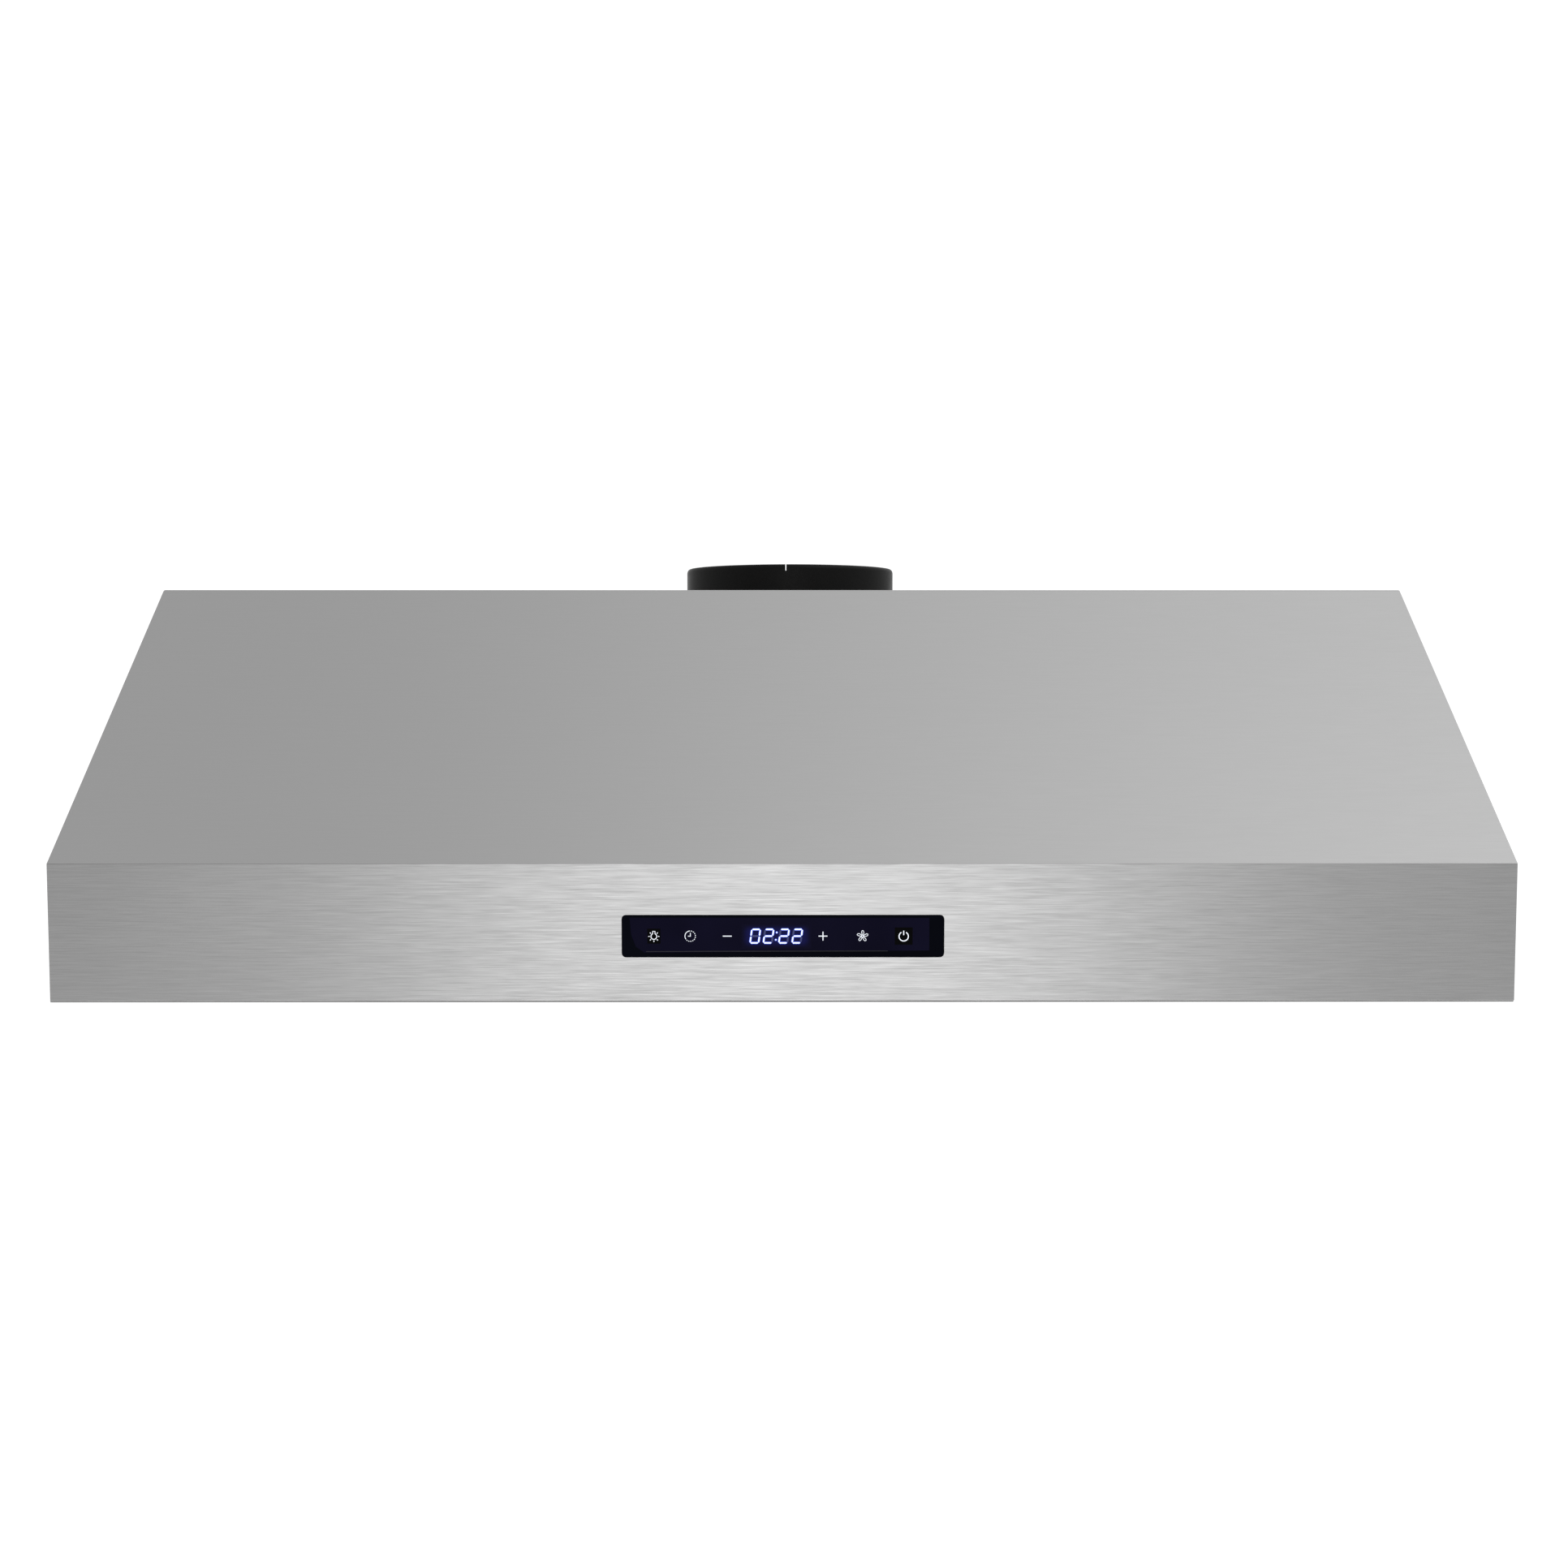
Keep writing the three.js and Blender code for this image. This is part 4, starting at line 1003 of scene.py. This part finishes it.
# In millimetres: the keys' places along the panel, the window's outline and its pale lower edge.
KEYS = {"bulb": -66.5, "timer": -47.8, "minus": -28.7, "plus": 20.6, "fan": 41.0, "power": 62.2}
WINDOW = [(-79, 9.6), (-78.2, 0.7), (-75.8, -5.4), (-71.4, -8.6), (75.4, -7.5), (75.4, 9.4)]
WINDOW_EDGE = [(-70.5, -8.15), (-40, -8.0), (54, -7.85), (54, -7.6), (-40, -7.75), (-70.5, -7.9)]
DARK_FIELDS = {"bulb": (3.4, 3.9), "power": (4.6, 4.5)}

# How far the back and the face of each printed layer stand proud of the glass.
LAYERS = {
    "display_film": (0, 0.02),
    "film_edge": (0.021, 0.03),
    "dark_fields": (0.021, 0.03),
    "panel_icons": (0.031, 0.05),
    # The film round the digits, with a painted glow of the display's light.
    "digits_painted_glow": (0.021, 0.026),
    "digits_unlit": (0.027, 0.03),
    "digits_glow": (0.027, 0.035),
    "digits_lit": (0.027, 0.05),
}


def placed(points, x, z=0.0):
    """Points round a place on the panel, in the hood's own millimetres."""
    return [(x + a, PANEL_Z + z + b) for a, b in points]


def add_print(name, outlines, material):
    """One layer of printing on the glass, as flat plates."""
    low, high = LAYERS[name]
    mesh = bmesh.new()
    for points in outlines:
        add_plate(mesh, points, GLASS_FACE - high, GLASS_FACE - low)
    add_piece(name, mesh, material, ROOT)


def block(x, z, half_x, half_z):
    """The outline of a rectangle round a place on the panel."""
    return placed([(-half_x, -half_z), (half_x, -half_z), (half_x, half_z), (-half_x, half_z)], x, z)


def add_panel():
    add_print("display_film", [placed(WINDOW, 0)], FILM)
    add_print("film_edge", [placed(WINDOW_EDGE, 0)], FILM_EDGE)
    add_print("dark_fields", [block(KEYS[key], 0, *half) for key, half in DARK_FIELDS.items()], PRINT_DARK)
    add_print("panel_icons", icon_outlines(), PRINT)


# The signs' sizes in millimetres and angles in degrees. A pen is the width of a line.
BULB = {
    "z": -0.15, "ring": 1.5, "glass": (116, 424), "pen": 0.44, "ray": (2.15, 2.85),
    "rays": (0, 45, 135, 180, 225, 270, 315), "cap_half": 0.6, "cap": (1.2, 2.5),
}
TIMER = {
    "ring": 2.7, "pen": 0.38, "solid": (92, 215), "dashes": 10, "first": 226, "pitch": 22.6, "dash": 12,
    "hands": ([(0.1, 1.75), (0.1, -0.2)], [(0.3, 0.0), (-1.15, 0.0)]),
}
SIGN = {"half": 2.3, "pen": 0.5}
FAN = {
    "pen": 0.34, "blades": 5,
    "petal": [
        (0.3, -0.12), (1.0, -0.5), (2.0, -0.68), (2.75, -0.42),
        (2.9, 0.18), (2.3, 0.5), (1.2, 0.34), (0.3, 0.12),
    ],
}
POWER = {"z": -0.15, "ring": 2.4, "pen": 0.54, "gap": 30, "stem": (2.8, 0.5)}


def turned(points, degrees):
    """Points turned about the origin."""
    c, s = math.cos(math.radians(degrees)), math.sin(math.radians(degrees))
    return [(x * c - z * s, x * s + z * c) for x, z in points]


def bulb_lines():
    z = BULB["z"]
    rays = [turned([(reach, 0) for reach in BULB["ray"]], angle) for angle in BULB["rays"]]
    half, (low, top) = BULB["cap_half"], BULB["cap"]
    return [
        arc(0, z, BULB["ring"], *BULB["glass"], 28),
        *[[(a, b + z) for a, b in ray] for ray in rays],
        [(-half, low), (-half, top), (half, top), (half, low)],
    ]


def timer_lines():
    starts = [TIMER["first"] + i * TIMER["pitch"] for i in range(TIMER["dashes"])]
    dashes = [arc(0, 0, TIMER["ring"], start, start + TIMER["dash"], 3) for start in starts]
    return [arc(0, 0, TIMER["ring"], *TIMER["solid"], 20), *dashes, *TIMER["hands"]]


def icon_outlines():
    """The touch keys' signs: a lamp, a timer, minus, plus, a fan and power."""
    half, pen = SIGN["half"], SIGN["pen"]
    level = [(-half, 0), (half, 0)]
    uprights = [[(0, end * pen / 2), (0, end * half)] for end in (1, -1)]
    petals = [turned(FAN["petal"], 90 + 360 / FAN["blades"] * i) for i in range(FAN["blades"])]
    ring = arc(0, POWER["z"], POWER["ring"], 90 - POWER["gap"], POWER["gap"] - 270, 36)
    signs = (
        ("bulb", bulb_lines(), BULB["pen"]),
        ("timer", timer_lines(), TIMER["pen"]),
        ("minus", [level], pen),
        ("plus", [level, *uprights], pen),
        ("fan", petals, FAN["pen"]),
        ("power", [ring, [(0, z) for z in POWER["stem"]]], POWER["pen"]),
    )
    return [placed(stroke(line, width), KEYS[key]) for key, lines, width in signs for line in lines]


# Each digit is given by its middle along the panel and its lit segments.
DIGITS = ((-14.3, "abcdef"), (-7.45, "abged"), (0.5, "abged"), (7.35, "abged"))
DIGIT_WIDTH = 4.35
DIGIT_HALF = 3.5
SLANT = 0.13
SEGMENTS = {
    "a": ((-1, 1), (1, 1)), "b": ((1, 1), (1, 0)), "c": ((1, 0), (1, -1)), "d": ((-1, -1), (1, -1)),
    "e": ((-1, 0), (-1, -1)), "f": ((-1, 1), (-1, 0)), "g": ((-1, 0), (1, 0)),
}
COLON = {"x": -3.45, "heights": (-1.9, 1.9), "radius": 0.52}

# The digits' layers: material, segment width, what is trimmed off a segment's ends, and whether it is lit.
DIGIT_LAYERS = {
    "digits_unlit": (DIGIT_DARK, 0.95, 0.15, False),
    # The blue band of a lit segment: partly the segment's own light, partly a painted glow past its edges.
    "digits_glow": (DIGIT_BLUE_GLOW, 1.3, -0.05, True),
    "digits_lit": (DIGIT_CORE, 0.74, 0.18, True),
}


def segment(centre, name, width, trim):
    """The hexagon of one segment of a digit, leaning to the right."""
    (ax, az), (bx, bz) = SEGMENTS[name]
    a = Vector((ax * DIGIT_WIDTH / 2, az * DIGIT_HALF))
    b = Vector((bx * DIGIT_WIDTH / 2, bz * DIGIT_HALF))
    along = (b - a).normalized()
    across = Vector((-along.y, along.x)) * width / 2
    a, b = a + along * trim, b - along * trim
    shoulder = along * width / 2
    upper = [a, a + shoulder + across, b - shoulder + across]
    lower = [b, b - shoulder - across, a + shoulder - across]
    return placed([(p.x + SLANT * p.y, p.y) for p in upper + lower], centre)


def colon_dot(z, width):
    """One dot of the colon, as wide as suits segments of some width."""
    return placed(arc(SLANT * z, z, width * COLON["radius"], 0, 330, 11), COLON["x"])


def add_digits():
    """The clock: each lit segment has a white core and a blue edge, which spreads past the segment as a
    painted glow, over a faint painted blue glow on the film.
    """
    add_print("digits_painted_glow", [block(*PAINTED_GLOW_AT, *PAINTED_GLOW_HALF)], PAINTED_GLOW_FILM)
    for name, (material, width, trim, is_lit) in DIGIT_LAYERS.items():
        outlines = [
            segment(centre, key, width, trim)
            for centre, on in DIGITS for key in SEGMENTS if (key in on) == is_lit
        ]
        if is_lit:
            outlines += [colon_dot(z, width) for z in COLON["heights"]]
        add_print(name, outlines, material)


add_panel()
add_digits()


# ---- Lights and surroundings ----

FRONT_LIGHT = {"place": (0.0, -2.3, -0.45), "aim": (0, -0.25, -0.18), "size": (1.06, 1.2), "power": 4.3}

# Light by direction: an axis, the part of it from start to end, and the levels at those two.
SKY = {
    "overhead": ("Z", 0.15, 0.75, 0, 1),
    "middle": ("X", -0.2, 0.0, 0, 0.17),
    "right": ("X", 0.0, 0.4, 0, 0.27),
    "ahead": ("Y", 0.0, 0.4, 1.2, 0.62),
    "behind": ("Y", 0.8, 1.0, 0, 0.34),
    "low_front": ("Y", -0.3, 0.0, 0.62, 0),
    "low_front_top": ("Z", -0.55, -0.4, 1, 0),
    "low_front_foot": ("Z", -0.85, -0.7, 0, 1),
    "under": ("Z", -0.92, -0.78, -0.2, 0),
}
SKY_SIDES = (0.8, 1.0, 0, 0.1)
SKY_OVERHEAD = 0.095
SKY_LEVEL = 0.395

# Metres, and the brightness of the backdrop and floor.
DOME_RADIUS = 14
FLOOR_RADIUS = 9
FLOOR_Z = -1.3
STAGE_GLOW = 1.1


def add_light(name, place, aim, size, power):
    data = bpy.data.lights.new(name, "AREA")
    data.shape = "RECTANGLE"
    data.size, data.size_y = size
    data.energy = power
    light = bpy.data.objects.new(name, data)
    bpy.context.scene.collection.objects.link(light)
    light.location = place
    light.rotation_euler = (Vector(aim) - Vector(place)).to_track_quat("-Z", "Y").to_euler()
    light.visible_camera = False


def add_world():
    """Soft light from all sides. Overhead it is brighter, and more so towards the right."""
    world = bpy.data.worlds.new("studio")
    world.use_nodes = True
    bpy.context.scene.world = world
    tree = world.node_tree
    background = tree.nodes["Background"]
    place = tree.nodes.new("ShaderNodeTexCoord")
    split = tree.nodes.new("ShaderNodeSeparateXYZ")
    tree.links.new(place.outputs["Generated"], split.inputs[0])

    def ramp(source, start, end, low, high):
        made = tree.nodes.new("ShaderNodeMapRange")
        for name, number in (("From Min", start), ("From Max", end), ("To Min", low), ("To Max", high)):
            made.inputs[name].default_value = number
        tree.links.new(source, made.inputs["Value"])
        return made.outputs["Result"]

    def part(name):
        axis, *numbers = SKY[name]
        return ramp(split.outputs[axis], *numbers)

    def combine(operation, a, b, c=0.0):
        made = tree.nodes.new("ShaderNodeMath")
        made.operation = operation
        for socket, value in zip(made.inputs, (a, b, c)):
            if isinstance(value, float):
                socket.default_value = value
            else:
                tree.links.new(value, socket)
        return made.outputs[0]

    rightward = combine("ADD", part("middle"), part("right"))
    glow = combine("MULTIPLY_ADD", rightward, part("ahead"), SKY_OVERHEAD)
    level = combine("MULTIPLY_ADD", glow, part("overhead"), SKY_LEVEL)
    sides = ramp(combine("ABSOLUTE", split.outputs["X"], 0.0), *SKY_SIDES)
    low_front = combine("MULTIPLY", part("low_front"), part("low_front_top"))
    low_front = combine("MULTIPLY", low_front, part("low_front_foot"))
    for extra in (sides, part("behind"), low_front, part("under")):
        level = combine("ADD", level, extra)
    tree.links.new(level, background.inputs["Strength"])
    background.inputs["Color"].default_value = (1, 1, 1, 1)


def add_stage(name, mesh, strength):
    """A pale surround that the camera sees, and that neither lights nor shades the hood."""
    made = bpy.data.materials.new(name)
    made.use_nodes = True
    tree = made.node_tree
    tree.nodes.remove(tree.nodes["Principled BSDF"])
    glow = tree.nodes.new("ShaderNodeEmission")
    glow.inputs["Color"].default_value = (1, 1, 1, 1)
    glow.inputs["Strength"].default_value = strength
    tree.links.new(glow.outputs["Emission"], tree.nodes["Material Output"].inputs["Surface"])
    data = bpy.data.meshes.new(name)
    mesh.to_mesh(data)
    mesh.free()
    data.materials.append(made)
    stage = bpy.data.objects.new(name, data)
    bpy.context.scene.collection.objects.link(stage)
    for ray in ("visible_diffuse", "visible_glossy", "visible_transmission", "visible_shadow"):
        setattr(stage, ray, False)


def add_surroundings():
    dome = bmesh.new()
    bmesh.ops.create_uvsphere(dome, u_segments=48, v_segments=24, radius=DOME_RADIUS)
    add_stage("backdrop", dome, STAGE_GLOW)
    floor = bmesh.new()
    bmesh.ops.create_circle(floor, cap_ends=True, segments=64, radius=FLOOR_RADIUS)
    bmesh.ops.translate(floor, vec=(0, 0, FLOOR_Z), verts=floor.verts)
    add_stage("floor", floor, STAGE_GLOW)


add_world()
add_surroundings()
add_light("front_panel", **FRONT_LIGHT)

scene = bpy.context.scene
scene.view_settings.view_transform = "Standard"
scene.view_settings.look = "None"
